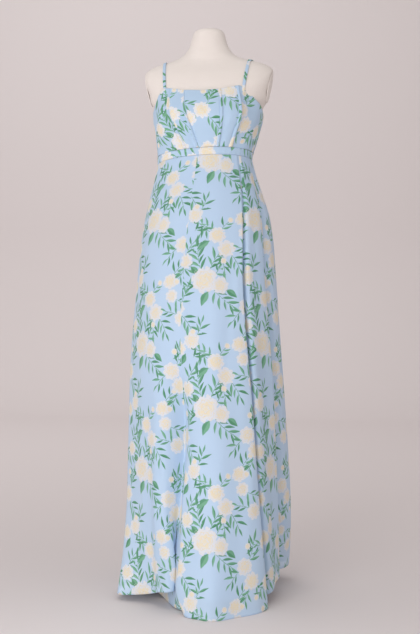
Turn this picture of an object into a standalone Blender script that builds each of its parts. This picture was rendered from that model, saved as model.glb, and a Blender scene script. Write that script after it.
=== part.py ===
"""A maternity maxi dress with thin shoulder straps, worn by a limbless dress form on a pole and a round base.

The dress is a gathered bodice with four soft tucks in front, a narrow band under the bust, and a long loose
skirt of sheer cloth over a narrower lining. Metres, +Z up. The front of the dress faces -Y, and the origin
is the centre of the stand's foot on the floor. A bearing is an angle round the body: 0 is the front, +90
is +X and 180 is the back.
"""

import math

import bmesh
import bpy
import numpy as np
from mathutils import Vector
from mathutils.bvhtree import BVHTree

# Cloth and seams
SHEER_THICKNESS = 0.0012
LINING_THICKNESS = 0.0012
BODICE_THICKNESS = 0.0015
SEAM_GAP = 0.0004

# Heights on the body
WAIST_SEAM_Z = 1.222
WAIST_SEAM_SLOPE = 0.04
WAIST_SEAM_SAG = 0.30
BAND_HEIGHT = 0.020

# Shoulder straps
STRAP_WIDTH = 0.008
STRAP_THICKNESS = 0.0014
STRAP_CLEARANCE = 0.0015
STRAP_FRONT_X = 0.107
STRAP_TOP_X = 0.1235
STRAP_BACK_X = 0.088
STRAP_FRONT_Z = 1.388
STRAP_BACK_Z = 1.332
STRAP_STEPS = 40

# Dress form and stand
FORM_BOTTOM_Z = 0.800
POLE_RADIUS = 0.016
BASE_RADIUS = 0.130
BASE_THICKNESS = 0.014
BASE_EDGE = 0.005
FORM_GAP = 0.0004
ARM_CUT_X = 0.1585
ARM_CUT_Z = 1.360
ARM_CUT_SLOPE = 0.21
ARM_PLATE_THICKNESS = 0.0025
ARM_PLATE_HALF_HEIGHT = 0.043
ARM_PLATE_HALF_DEPTH = 0.031
ARM_PLATE_CENTRE_Z = 1.424
BUST_Z = 1.322
BUST_BEARING = 37.0
BUST_RISE = 0.010
BUST_SPREAD_Z = 0.042
BUST_SPREAD_BEARING = 21.0
ARM_RISE_Z = 1.392
ARM_RISE = 0.0085
ARM_SPREAD_Z = 0.018
ARM_SPREAD_BEARING = 15.0

# Mesh density
FORM_COLUMNS = 44
SKIRT_STEP = 0.030
SKIRT_DROPS = (
    0.0,
    0.06,
    0.14,
    0.22,
    0.30,
    0.39,
    0.48,
    0.57,
    0.66,
    0.74,
    0.80,
    0.84,
    0.875,
    0.91,
    0.945,
    0.975,
    1.0,
)
BODICE_STEP = 0.016
BODICE_ROWS = 7
LINING_STEP = 0.032
LINING_DROPS = tuple(float(part) ** 1.1 for part in np.linspace(0.0, 1.0, 12))
BAND_TURN = 6.0

# Sections of the dress form
#   z      half   front  back   power
FORM_SECTIONS = (
    (0.800, 0.140, 0.088, 0.102, 2.2),
    (0.820, 0.150, 0.094, 0.109, 2.2),
    (0.870, 0.157, 0.099, 0.113, 2.2),
    (0.930, 0.157, 0.100, 0.111, 2.2),
    (1.000, 0.146, 0.097, 0.101, 2.2),
    (1.080, 0.122, 0.089, 0.084, 2.2),
    (1.140, 0.110, 0.085, 0.075, 2.2),
    (1.200, 0.112, 0.091, 0.077, 2.2),
    (1.245, 0.117, 0.101, 0.083, 2.25),
    (1.290, 0.134, 0.120, 0.096, 2.3),
    (1.330, 0.145, 0.127, 0.101, 2.4),
    (1.365, 0.151, 0.120, 0.103, 2.45),
    (1.383, 0.156, 0.113, 0.102, 2.45),
    (1.400, 0.162, 0.106, 0.101, 2.5),
    (1.430, 0.178, 0.094, 0.096, 2.5),
    (1.455, 0.186, 0.081, 0.088, 2.4),
    (1.472, 0.184, 0.070, 0.080, 2.3),
    (1.484, 0.172, 0.062, 0.073, 2.2),
    (1.493, 0.152, 0.057, 0.069, 2.1),
    (1.501, 0.122, 0.054, 0.066, 2.0),
    (1.511, 0.092, 0.052, 0.063, 2.0),
    (1.522, 0.073, 0.050, 0.059, 2.0),
    (1.535, 0.062, 0.047, 0.056, 2.0),
    (1.552, 0.053, 0.045, 0.052, 2.0),
    (1.570, 0.048, 0.042, 0.049, 2.0),
    (1.583, 0.044, 0.039, 0.045, 2.0),
    (1.591, 0.037, 0.033, 0.038, 2.0),
    (1.595, 0.024, 0.021, 0.025, 2.0),
)

# Sections of the bodice and of the top of the skirt, at the outside of the cloth
#   z      left   right  front  back   power
BODICE_SECTIONS = (
    (1.200, 0.1470, 0.1240, 0.113, 0.091, 2.3),
    (1.222, 0.1465, 0.1235, 0.114, 0.092, 2.3),
    (1.245, 0.1460, 0.1275, 0.120, 0.094, 2.3),
    (1.275, 0.1475, 0.1365, 0.131, 0.099, 2.35),
    (1.300, 0.1510, 0.1440, 0.138, 0.103, 2.4),
    (1.330, 0.1550, 0.1520, 0.141, 0.107, 2.45),
    (1.352, 0.1565, 0.1560, 0.137, 0.109, 2.5),
    (1.375, 0.1590, 0.1590, 0.128, 0.109, 2.5),
    (1.400, 0.1670, 0.1670, 0.114, 0.106, 2.5),
    (1.430, 0.1800, 0.1800, 0.100, 0.101, 2.5),
)

# Sections of the skirt, before its folds
#   z      left   right  front  back   power
SKIRT_SECTIONS = (
    (0.000, 0.245, 0.200, 0.268, 0.240, 2.2),
    (0.090, 0.233, 0.200, 0.262, 0.237, 2.2),
    (0.200, 0.226, 0.200, 0.254, 0.233, 2.2),
    (0.430, 0.224, 0.198, 0.236, 0.223, 2.2),
    (0.660, 0.220, 0.196, 0.216, 0.206, 2.2),
    (0.880, 0.203, 0.190, 0.193, 0.181, 2.2),
    (1.000, 0.191, 0.182, 0.176, 0.163, 2.2),
    (1.060, 0.182, 0.172, 0.163, 0.149, 2.2),
    (1.110, 0.171, 0.157, 0.149, 0.132, 2.25),
    (1.170, 0.156, 0.137, 0.129, 0.108, 2.3),
    (1.222, 0.1465, 0.1235, 0.114, 0.092, 2.3),
)

# Sections of the skirt lining, before its waves, at the outside of the cloth
#   z      left   right  front  back   power
LINING_SECTIONS = (
    (0.000, 0.180, 0.170, 0.215, 0.195, 2.2),
    (0.430, 0.184, 0.172, 0.196, 0.186, 2.2),
    (0.660, 0.188, 0.174, 0.185, 0.174, 2.2),
    (0.880, 0.184, 0.173, 0.165, 0.152, 2.2),
    (1.000, 0.173, 0.165, 0.148, 0.138, 2.2),
    (1.060, 0.164, 0.155, 0.138, 0.126, 2.2),
    (1.110, 0.155, 0.143, 0.127, 0.114, 2.25),
    (1.170, 0.1465, 0.1255, 0.115, 0.0975, 2.3),
    (1.222, 0.1430, 0.1200, 0.1105, 0.0885, 2.3),
)

# The heights of the skirt at which the folds' bearings are given
FOLD_STATIONS = (1.222, 0.950, 0.550, 0.220, 0.000)

# The skirt's folds, anticlockwise from above, each a line of cloth that runs from the waist seam to the hem.
# The five bearings are at the stations. radius is where the line meets the hem, lift is the hem's height
# there, start is the height at which the fold begins, and growth is 1 for a fold that deepens evenly and
# less for one that opens at once.
#   name                waist   hip    knee   shin   hem    radius  lift   start  growth
SKIRT_FOLDS = (
    ("left seam", -90.0, -90.0, -90.0, -90.0, -88.0, 0.235, 0.020, 1.15, 1.0),
    ("left corner", -70.0, -72.0, -72.0, -70.0, -60.5, 0.268, 0.015, 1.00, 3.0),
    ("left shoulder", -50.0, -52.0, -51.0, -50.0, -48.0, 0.2275, 0.022, 0.90, 1.5),
    ("lobe face", -36.0, -39.0, -38.0, -37.0, -36.0, 0.215, 0.033, 0.80, 1.6),
    ("lobe side", -26.0, -29.0, -29.0, -29.5, -27.0, 0.229, 0.045, 0.80, 2.2),
    ("front left", 12.0, 4.0, 3.0, 1.0, 3.7, 0.282, 0.000, 1.10, 1.0),
    ("front crown", 24.0, 14.0, 13.0, 12.0, 10.0, 0.296, 0.000, 1.10, 1.0),
    ("front right", 36.0, 26.0, 26.0, 27.0, 25.6, 0.271, 0.000, 1.10, 1.0),
    ("front bend", 43.0, 33.0, 35.3, 39.2, 40.5, 0.258, 0.000, 1.15, 1.0),
    ("front right edge", 47.6, 36.4, 39.4, 45.2, 51.0, 0.236, 0.002, 1.222, 0.8),
    ("pleat inner", 48.1, 36.6, 39.2, 44.3, 49.5, 0.196, 0.004, 1.222, 0.75),
    ("pleat floor", 50.4, 39.8, 41.2, 46.8, 53.5, 0.186, 0.012, 1.222, 0.75),
    ("pleat lip", 52.2, 41.8, 43.4, 50.0, 60.0, 0.217, 0.030, 1.222, 1.0),
    ("second face", 60.0, 50.0, 56.0, 66.0, 77.3, 0.200, 0.040, 1.10, 1.0),
    ("second edge", 70.0, 60.5, 70.0, 82.5, 98.0, 0.199, 0.042, 1.20, 0.9),
    ("second hollow", 71.5, 61.5, 70.5, 83.0, 104.0, 0.172, 0.042, 1.20, 0.7),
    ("second floor", 75.0, 66.0, 76.0, 90.0, 112.0, 0.176, 0.042, 1.20, 0.7),
    ("third face", 80.0, 75.0, 86.0, 102.0, 121.3, 0.243, 0.042, 0.95, 1.5),
    ("right seam", 90.0, 92.0, 104.0, 120.5, 133.3, 0.286, 0.042, 0.95, 1.6),
    ("back hollow 1", 104.0, 110.0, 122.0, 133.0, 143.0, 0.232, 0.040, 1.10, 0.9),
    ("back ridge 1", 121.0, 127.0, 137.0, 146.0, 155.0, 0.268, 0.038, 1.10, 1.0),
    ("back hollow 2", 140.0, 144.0, 152.0, 161.0, 169.0, 0.212, 0.036, 1.10, 0.9),
    ("back ridge 2", 155.0, 157.0, 163.0, 170.0, 178.0, 0.250, 0.034, 1.00, 1.0),
    ("back hollow 3", 172.0, 173.0, 177.0, 183.0, 190.0, 0.216, 0.032, 1.00, 0.9),
    ("back ridge 3", 192.0, 192.0, 195.0, 200.0, 206.0, 0.264, 0.030, 1.15, 1.0),
    ("back hollow 4", 211.0, 211.0, 213.0, 216.0, 221.0, 0.206, 0.028, 1.15, 0.9),
    ("back ridge 4", 226.0, 226.0, 227.0, 229.0, 232.0, 0.247, 0.026, 0.95, 1.0),
    ("left back hollow", 241.0, 241.0, 242.0, 243.0, 245.0, 0.219, 0.024, 0.95, 0.9),
    ("left back ridge", 255.0, 255.0, 255.0, 256.0, 258.0, 0.250, 0.022, 1.05, 1.0),
)

# The heights of the skirt at which the lines of the valley left of the front are given
VALLEY_HEIGHTS = (1.222, 0.950, 0.700, 0.460, 0.300, 0.200, 0.120, 0.060, 0.000)

# The valley's lines, which come before the front left line. It is open above and shuts to a pleat near the
# floor. Each has the hem's height there, its bearings at the heights, and its distances from the axis at
# the lowest six of them. Above these the cloth lies on the plain section.
VALLEY_LINES = (
    (
        "lobe end",
        0.052,
        (-18.5, -21.0, -21.6, -21.6, -21.9, -21.4, -19.8, -18.6, -18.0),
        (0.2260, 0.2300, 0.2330, 0.2370, 0.2375, 0.2390),
    ),
    (
        "lobe tip",
        0.055,
        (-14.5, -17.4, -17.8, -17.3, -18.2, -18.6, -15.6, -14.2, -15.0),
        (0.2110, 0.2153, 0.2178, 0.2233, 0.2242, 0.2290),
    ),
    (
        "lobe turn",
        0.055,
        (-11.5, -14.6, -15.4, -15.2, -16.4, -17.5, -17.2, -17.4, -18.0),
        (0.2017, 0.2065, 0.2089, 0.2152, 0.2121, 0.2120),
    ),
    (
        "front hollow",
        0.042,
        (-9.2, -12.8, -13.4, -12.9, -14.8, -16.8, -18.4, -27.7, -36.0),
        (0.1930, 0.1983, 0.1994, 0.2028, 0.1895, 0.1770),
    ),
    (
        "hollow floor",
        0.020,
        (-7.3, -11.2, -11.8, -11.0, -13.3, -16.6, -25.4, -38.5, -54.6),
        (0.1878, 0.1935, 0.1950, 0.1900, 0.1789, 0.1650),
    ),
    (
        "inner wall",
        0.004,
        (-5.4, -9.6, -10.4, -9.1, -11.8, -14.5, -24.8, -38.1, -51.0),
        (0.1935, 0.1989, 0.2050, 0.1865, 0.1644, 0.1500),
    ),
    (
        "hollow wall",
        0.003,
        (-3.4, -7.9, -8.8, -7.3, -9.9, -11.7, -15.8, -17.0, -16.1),
        (0.2047, 0.2135, 0.2202, 0.2148, 0.2115, 0.2075),
    ),
    (
        "wall edge",
        0.002,
        (-1.4, -6.0, -7.2, -5.9, -8.1, -9.1, -11.0, -11.9, -8.1),
        (0.2147, 0.2323, 0.2398, 0.2362, 0.2420, 0.2230),
    ),
    (
        "front left edge",
        0.001,
        (0.8, -4.6, -6.0, -5.1, -7.0, -7.8, -9.4, -10.4, -5.0),
        (0.2200, 0.2360, 0.2460, 0.2520, 0.2550, 0.2620),
    ),
)

# The lining's soft waves, in the same columns
#   name                waist   hip    knee   shin   hem    radius  lift   start  growth
LINING_FOLDS = (
    ("left seam", -90.0, -90.0, -90.0, -90.0, -90.0, 0.182, 0.048, 1.00, 1.0),
    ("left corner", -66.0, -66.0, -66.0, -64.0, -62.0, 0.190, 0.048, 1.00, 1.0),
    ("front hollow", -34.0, -32.0, -28.0, -30.0, -48.0, 0.144, 0.046, 0.95, 1.0),
    ("hollow wall", -14.0, -12.0, -9.0, -14.0, -25.0, 0.150, 0.044, 0.95, 0.8),
    ("front left", 2.0, 2.0, 3.0, 1.0, -4.0, 0.206, 0.043, 0.90, 1.0),
    ("front crown", 22.0, 13.0, 12.0, 11.0, 10.0, 0.266, 0.042, 1.00, 1.0),
    ("front right", 40.0, 32.0, 32.0, 34.0, 36.0, 0.232, 0.042, 1.00, 1.0),
    ("pleat floor", 51.0, 43.0, 44.0, 48.0, 54.0, 0.170, 0.044, 1.10, 0.8),
    ("second face", 64.0, 54.0, 60.0, 68.0, 76.0, 0.184, 0.048, 1.10, 0.8),
    ("second hollow", 74.0, 65.0, 74.0, 86.0, 106.0, 0.160, 0.050, 1.10, 0.8),
    ("right seam", 90.0, 92.0, 103.0, 116.0, 131.0, 0.205, 0.050, 1.00, 1.0),
    ("back hollow", 118.0, 124.0, 136.0, 150.0, 160.0, 0.190, 0.050, 1.00, 1.0),
    ("back ridge", 152.0, 156.0, 162.0, 170.0, 182.0, 0.200, 0.050, 1.00, 1.0),
    ("back left hollow", 190.0, 190.0, 194.0, 200.0, 208.0, 0.186, 0.050, 1.00, 1.0),
    ("back left ridge", 226.0, 226.0, 228.0, 232.0, 238.0, 0.200, 0.049, 1.00, 1.0),
)

# The bodice's vertical lines. rise is how far each stands out of the plain section: two sides of a tuck
# lie close together, one raised and one low.
#   name            band   top    rise
BODICE_LINES = (
    ("left seam", -90.0, -90.0, 0.0000),
    ("left side", -66.0, -73.0, 0.0010),
    ("left tuck base", -35.0, -56.0, 0.0010),
    ("left tuck crest", -23.5, -46.0, 0.0050),
    ("left tuck fold", -20.5, -43.5, 0.0000),
    ("left cup", -14.0, -34.0, 0.0015),
    ("left inner crest", -7.0, -25.5, 0.0050),
    ("left inner fold", -4.0, -23.0, 0.0000),
    ("centre", 8.0, 0.0, 0.0010),
    ("right inner fold", 18.0, 22.0, 0.0000),
    ("right inner crest", 21.0, 24.5, 0.0050),
    ("right cup", 28.0, 35.0, 0.0015),
    ("right tuck fold", 34.5, 43.5, 0.0000),
    ("right tuck crest", 37.5, 46.0, 0.0050),
    ("right side", 62.0, 70.0, 0.0010),
    ("right seam", 90.0, 90.0, 0.0000),
    ("right gather 1", 106.0, 106.0, 0.0020),
    ("right gather 2", 122.0, 121.0, 0.0000),
    ("right gather 3", 138.0, 137.0, 0.0025),
    ("right gather 4", 153.0, 152.0, 0.0000),
    ("back crest 1", 167.0, 167.0, 0.0025),
    ("back centre", 180.0, 180.0, 0.0000),
    ("back crest 2", 193.0, 193.0, 0.0025),
    ("left gather 4", 207.0, 208.0, 0.0000),
    ("left gather 3", 222.0, 223.0, 0.0025),
    ("left gather 2", 238.0, 239.0, 0.0000),
    ("left gather 1", 254.0, 254.0, 0.0020),
)

# Height of the bodice's top edge round the body
#   bearing  z
TOP_EDGE = (
    (-180.0, 1.3450),
    (-110.0, 1.3480),
    (-90.0, 1.3500),
    (-78.0, 1.3510),
    (-68.0, 1.3580),
    (-62.0, 1.3730),
    (-57.5, 1.3890),
    (-54.0, 1.4045),
    (-51.0, 1.4130),
    (-45.0, 1.4110),
    (-25.0, 1.4020),
    (0.0, 1.3985),
    (24.0, 1.4020),
    (42.0, 1.4110),
    (47.0, 1.4130),
    (51.0, 1.4090),
    (57.5, 1.3950),
    (67.0, 1.3740),
    (78.0, 1.3570),
    (90.0, 1.3500),
    (110.0, 1.3480),
    (180.0, 1.3450),
)

# Colours in linear light
SHEER_BLUE = (0.47, 0.62, 0.83, 1.0)
LINING_BLUE = (0.42, 0.58, 0.82, 1.0)
FORM_CREAM = (0.74, 0.68, 0.62, 1.0)
STAND_GREY = (0.55, 0.54, 0.52, 1.0)


def smooth_between(x, xs, ys):
    """The smooth curve through the points (xs, ys), read at x. xs ascend."""
    xs, ys = np.asarray(xs, float), np.asarray(ys, float)
    slopes = np.gradient(ys, xs)
    x = np.clip(x, xs[0], xs[-1])
    i = np.clip(np.searchsorted(xs, x) - 1, 0, len(xs) - 2)
    span = xs[i + 1] - xs[i]
    s = (x - xs[i]) / span
    return (
        (2 * s**3 - 3 * s**2 + 1) * ys[i]
        + (s**3 - 2 * s**2 + s) * span * slopes[i]
        + (3 * s**2 - 2 * s**3) * ys[i + 1]
        + (s**3 - s**2) * span * slopes[i + 1]
    )


def section_at(sections, z):
    """Every column of a section table but the first, at the height z."""
    table = np.asarray(sections, float)
    return [smooth_between(z, table[:, 0], table[:, k]) for k in range(1, table.shape[1])]


def ring_radius(bearing, left, right, front, back, power):
    """Distance from the axis to a rounded section, in the direction of a bearing in degrees."""
    turn = np.radians(bearing)
    across, along = np.sin(turn), -np.cos(turn)
    half = np.where(across < 0, left, right)
    depth = np.where(along < 0, front, back)
    return (np.abs(across / half) ** power + np.abs(along / depth) ** power) ** (-1 / power)


def at_bearing(bearing, radius, z):
    """Points at a bearing, a distance from the axis and a height, as rows of x, y, z."""
    turn = np.radians(bearing)
    return np.stack([radius * np.sin(turn), -radius * np.cos(turn), z + 0 * turn], axis=-1)


def bust_rise(bearing, z):
    """How far the two cups stand out of the plain section."""
    front = (np.asarray(bearing, float) + 180.0) % 360.0 - 180.0
    level = np.exp(-(((z - BUST_Z) / BUST_SPREAD_Z) ** 2))
    cups = sum(
        np.exp(-(((front - side * BUST_BEARING) / BUST_SPREAD_BEARING) ** 2)) for side in (-1, 1)
    )
    return BUST_RISE * level * cups


def arm_rise(bearing, z):
    """How far the body stands out below the shoulders, so that it reaches the arm plates."""
    level = np.exp(-(((z - ARM_RISE_Z) / ARM_SPREAD_Z) ** 2))
    aside = np.abs((np.asarray(bearing, float) + 180.0) % 360.0 - 180.0)
    return ARM_RISE * level * np.exp(-(((aside - 90.0) / ARM_SPREAD_BEARING) ** 2))


def form_point(bearing, z):
    """A point on the dress form. The shoulders are cut flat where the arm plates go."""
    half, front, back, power = section_at(FORM_SECTIONS, z)
    radius = ring_radius(bearing, half, half, front, back, power)
    radius = radius + bust_rise(bearing, z) + arm_rise(bearing, z)
    point = at_bearing(bearing, radius, z)
    cut = ARM_CUT_X + (z - ARM_CUT_Z) * ARM_CUT_SLOPE
    if z > ARM_CUT_Z:
        point[..., 0] = np.clip(point[..., 0], -cut, cut)
    return point


def waist_seam_z(x):
    """Height of the waist seam, which hangs lower at the sides, and more so on the left."""
    return WAIST_SEAM_Z + WAIST_SEAM_SLOPE * x - WAIST_SEAM_SAG * x**2


def spline_span(before, start, end, after, s):
    """Points of a smooth curve from start to end, with knots by the root of the distance. s runs 0 to 1."""

    def knot(a, b):
        return np.sqrt(np.linalg.norm(b - a, axis=-1, keepdims=True) + 1e-9)

    t0 = 0.0
    t1 = t0 + knot(before, start)
    t2 = t1 + knot(start, end)
    t3 = t2 + knot(end, after)
    t = t1 + s * (t2 - t1)
    a1 = (t1 - t) / (t1 - t0) * before + (t - t0) / (t1 - t0) * start
    a2 = (t2 - t) / (t2 - t1) * start + (t - t1) / (t2 - t1) * end
    a3 = (t3 - t) / (t3 - t2) * end + (t - t2) / (t3 - t2) * after
    b1 = (t2 - t) / (t2 - t0) * a1 + (t - t0) / (t2 - t0) * a2
    b2 = (t3 - t) / (t3 - t1) * a2 + (t - t1) / (t3 - t1) * a3
    return (t2 - t) / (t2 - t1) * b1 + (t - t1) / (t2 - t1) * b2


def spline_grid(lines, step):
    """A closed grid of points round a garment, through lines of cloth in an array of line, row, xyz.

    Each span gets as many columns as its width at the bottom needs. Also gives each line's column.
    """
    count = len(lines)
    columns, starts = [], []
    for i in range(count):
        before, start, end, after = (lines[(i + k) % count] for k in (-1, 0, 1, 2))
        pieces = max(2, round(np.linalg.norm(end[-1] - start[-1]) / step))
        starts.append(len(columns))
        for k in range(pieces):
            columns.append(spline_span(before, start, end, after, k / pieces))
    return np.array(columns), starts


def grid_normals(grid):
    """Outward normals of a closed grid of column, row, xyz whose bearings ascend and whose rows run down.

    They are level along the top and the bottom edge, so that the pieces that meet there stay apart.
    """
    down = np.gradient(grid, axis=1)
    normal = np.zeros(grid.shape)
    for side in (np.roll(grid, -1, axis=0) - grid, grid - np.roll(grid, 1, axis=0)):
        facing = np.cross(down, side)
        normal += facing / np.linalg.norm(facing, axis=-1, keepdims=True)
    normal[:, (0, -1), 2] = 0.0
    return normal / np.linalg.norm(normal, axis=-1, keepdims=True)


def trim_sides(grid, gap):
    """The grid with its first and last columns moved in along the cloth, so that panels stay apart."""
    grid = grid.copy()
    for end, inner in ((0, 1), (-1, -2)):
        along = grid[inner] - grid[end]
        grid[end] += gap / 2 * along / np.linalg.norm(along, axis=-1, keepdims=True)
    return grid


def material(name, colour, roughness, metallic=0.0):
    """A plain finish."""
    made = bpy.data.materials.new(name)
    made.use_nodes = True
    shader = made.node_tree.nodes["Principled BSDF"]
    shader.inputs["Base Color"].default_value = colour
    shader.inputs["Roughness"].default_value = roughness
    shader.inputs["Metallic"].default_value = metallic
    made.diffuse_color = colour
    return made


def add_object(name, bm, finish):
    """A named object of triangles from a closed bmesh, with its faces pointing out."""
    bmesh.ops.triangulate(bm, faces=bm.faces, quad_method="FIXED")
    bmesh.ops.recalc_face_normals(bm, faces=bm.faces)
    mesh = bpy.data.meshes.new(name)
    bm.to_mesh(mesh)
    bm.free()
    mesh.shade_smooth()
    mesh.set_sharp_from_angle(angle=math.radians(50))
    mesh.materials.append(finish)
    made = bpy.data.objects.new(name, mesh)
    bpy.context.scene.collection.objects.link(made)
    return made


def wall(name, outside, inside, finish):
    """A closed solid between the outside and the inside of a piece of cloth."""
    bm = bmesh.new()
    columns, rows = outside.shape[:2]
    outer = [[bm.verts.new(p) for p in column] for column in outside]
    inner = [[bm.verts.new(p) for p in column] for column in inside]
    for i in range(columns - 1):
        j = i + 1
        for k in range(rows - 1):
            bm.faces.new((outer[i][k], outer[i][k + 1], outer[j][k + 1], outer[j][k]))
            bm.faces.new((inner[i][k], inner[j][k], inner[j][k + 1], inner[i][k + 1]))
        bm.faces.new((outer[i][0], outer[j][0], inner[j][0], inner[i][0]))
        bm.faces.new((outer[i][-1], inner[i][-1], inner[j][-1], outer[j][-1]))
    for i in (0, -1):
        for k in range(rows - 1):
            bm.faces.new((outer[i][k], inner[i][k], inner[i][k + 1], outer[i][k + 1]))
    return add_object(name, bm, finish)


def make_panels(names, grid, right_seam, thickness, finish):
    """The front and the back panel of a closed grid that starts at its left seam."""
    inside = grid - thickness * grid_normals(grid)
    count = len(grid)
    spans = (np.arange(right_seam + 1), np.arange(right_seam, count + 1) % count)
    for name, span in zip(names, spans):
        wall(name, trim_sides(grid[span], SEAM_GAP), trim_sides(inside[span], SEAM_GAP), finish)


def loft(name, rings, finish):
    """A closed solid through a stack of rings, with flat ends."""
    bm = bmesh.new()
    loops = [[bm.verts.new(p) for p in ring] for ring in rings]
    count = len(loops[0])
    for low, high in zip(loops, loops[1:]):
        for i in range(count):
            j = (i + 1) % count
            bm.faces.new((low[i], low[j], high[j], high[i]))
    bm.faces.new(loops[0])
    bm.faces.new(loops[-1])
    return add_object(name, bm, finish)


def valley_path(bearings, radii, sections, height):
    """The bearings and the distances from the axis of one of the valley's lines, at every height."""
    stations = -np.array(VALLEY_HEIGHTS)
    plain = ring_radius(np.array(bearings), *section_at(sections, np.array(VALLEY_HEIGHTS)))
    stand = np.zeros(len(plain))
    stand[-len(radii) :] = np.array(radii) - plain[-len(radii) :]
    bearing = np.array([smooth_between(-z, stations, bearings) for z in height])
    grown = np.array([smooth_between(-z, stations, stand) for z in height])
    return bearing, ring_radius(bearing, *section_at(sections, height)) + grown


def fold_path(bearings, radius, start, growth, sections, height):
    """The bearings and the distances from the axis of a fold's line, at every height."""
    stations = -np.array(FOLD_STATIONS)
    bearing = np.array([smooth_between(-z, stations, bearings) for z in height])
    stand = radius - ring_radius(bearings[-1], *section_at(sections, 0.0))
    grown = np.clip((start - height) / start, 0.0, 1.0) ** growth
    return bearing, ring_radius(bearing, *section_at(sections, height)) + stand * grown


def cloth_lines(folds, valley, sections, drops):
    """The lines of cloth of a skirt layer, by name, as points from the waist seam down to the hem."""
    drop = np.array(drops)
    height = WAIST_SEAM_Z * (1 - drop)
    paths = {}
    for name, waist, hip, knee, shin, hem, radius, lift, start, growth in folds:
        if name == "front left":
            for title, foot, bearings, radii in valley:
                paths[title] = (foot, valley_path(bearings, radii, sections, height))
        bearings = (waist, hip, knee, shin, hem)
        paths[name] = (lift, fold_path(bearings, radius, start, growth, sections, height))
    lines = {}
    for name, (lift, (bearing, radius)) in paths.items():
        point = at_bearing(bearing, radius, height)
        top = waist_seam_z(point[0, 0]) - SEAM_GAP
        point[:, 2] = top + (lift - top) * drop
        lines[name] = point
    return lines


def make_skirt(sheer, lining):
    """The two sheer panels of the skirt, which meet at the side seams, and the two shorter lining panels."""
    layers = (
        ("skirt", SKIRT_FOLDS, VALLEY_LINES, SKIRT_SECTIONS, SKIRT_DROPS, SKIRT_STEP, SHEER_THICKNESS, sheer),
        ("lining", LINING_FOLDS, (), LINING_SECTIONS, LINING_DROPS, LINING_STEP, LINING_THICKNESS, lining),
    )
    for name, folds, valley, sections, drops, step, thickness, finish in layers:
        lines = cloth_lines(folds, valley, sections, drops)
        grid, starts = spline_grid(np.array(list(lines.values())), step)
        right = starts[list(lines).index("right seam")]
        make_panels((name + "_front", name + "_back"), grid, right, thickness, finish)


def top_edge_z(bearing):
    """Height of the bodice's top edge at a bearing."""
    table = np.asarray(TOP_EDGE, float)
    return float(np.interp((bearing + 180.0) % 360.0 - 180.0, table[:, 0], table[:, 1]))


def bodice_radius(bearing, z):
    """Distance from the axis to the outside of the bodice, before its tucks."""
    return ring_radius(bearing, *section_at(BODICE_SECTIONS, z)) + bust_rise(bearing, z)


def bodice_lines():
    """Each vertical line of the bodice as points from the top edge down to the band."""
    drop = np.linspace(0.0, 1.0, BODICE_ROWS)
    lines = []
    for _, band, top, rise in BODICE_LINES:
        bearing = top + (band - top) * drop
        high = top_edge_z(top)
        low_x = bodice_radius(band, WAIST_SEAM_Z + BAND_HEIGHT) * math.sin(math.radians(band))
        low = waist_seam_z(low_x) + BAND_HEIGHT + SEAM_GAP
        z = high + (low - high) * drop
        level = high + (WAIST_SEAM_Z + BAND_HEIGHT - high) * drop
        ease = np.sin(np.pi * (0.15 + 0.75 * drop))
        radius = np.array([bodice_radius(b, h) for b, h in zip(bearing, level)]) + rise * ease
        point = at_bearing(bearing, radius, z)
        point[-1, 2] = waist_seam_z(point[-1, 0]) + BAND_HEIGHT + SEAM_GAP
        lines.append(point)
    return np.array(lines)


def make_bodice(finish):
    """The front with its four tucks and the softly gathered back."""
    grid, starts = spline_grid(bodice_lines(), BODICE_STEP)
    right = starts[[row[0] for row in BODICE_LINES].index("right seam")]
    make_panels(("bodice_front", "bodice_back"), grid, right, BODICE_THICKNESS, finish)


def make_waistband(finish):
    """The narrow band under the bust, in a front and a back piece."""
    columns = []
    bearings = np.arange(-90.0, 270.0, BAND_TURN)
    above = np.array([BAND_HEIGHT, BAND_HEIGHT / 2, 0.0])
    for bearing in bearings:
        radius = np.array([bodice_radius(bearing, WAIST_SEAM_Z + rise) for rise in above])
        point = at_bearing(bearing, radius, above)
        point[:, 2] = waist_seam_z(point[:, 0]) + above
        columns.append(point)
    names = ("waistband_front", "waistband_back")
    make_panels(names, np.array(columns), len(bearings) // 2, BODICE_THICKNESS, finish)


def make_form(finish):
    """The torso with its neck, and a cover plate on each shoulder."""
    bearings = np.linspace(0.0, 360.0, FORM_COLUMNS, endpoint=False)
    rings = [form_point(bearings, row[0]) for row in FORM_SECTIONS]
    torso = loft("form_torso", rings, finish)
    lean = math.atan(ARM_CUT_SLOPE)
    centre = ARM_CUT_X + (ARM_PLATE_CENTRE_Z - ARM_CUT_Z) * ARM_CUT_SLOPE
    outline = np.linspace(0.0, 2 * math.pi, 24, endpoint=False)
    for name, side in (("form_arm_plate_left", -1), ("form_arm_plate_right", 1)):
        rings = []
        for out, shrink in ((0.0, 1.0), (0.6, 1.0), (1.0, 0.94)):
            depth = ARM_PLATE_HALF_DEPTH * shrink * np.cos(outline)
            height = ARM_PLATE_HALF_HEIGHT * shrink * np.sin(outline)
            off = FORM_GAP + ARM_PLATE_THICKNESS * out
            x = centre + off * math.cos(lean) + height * math.sin(lean)
            z = ARM_PLATE_CENTRE_Z - off * math.sin(lean) + height * math.cos(lean)
            rings.append(np.stack([side * x, depth, z], axis=-1))
        loft(name, rings, finish)
    return torso


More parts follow.
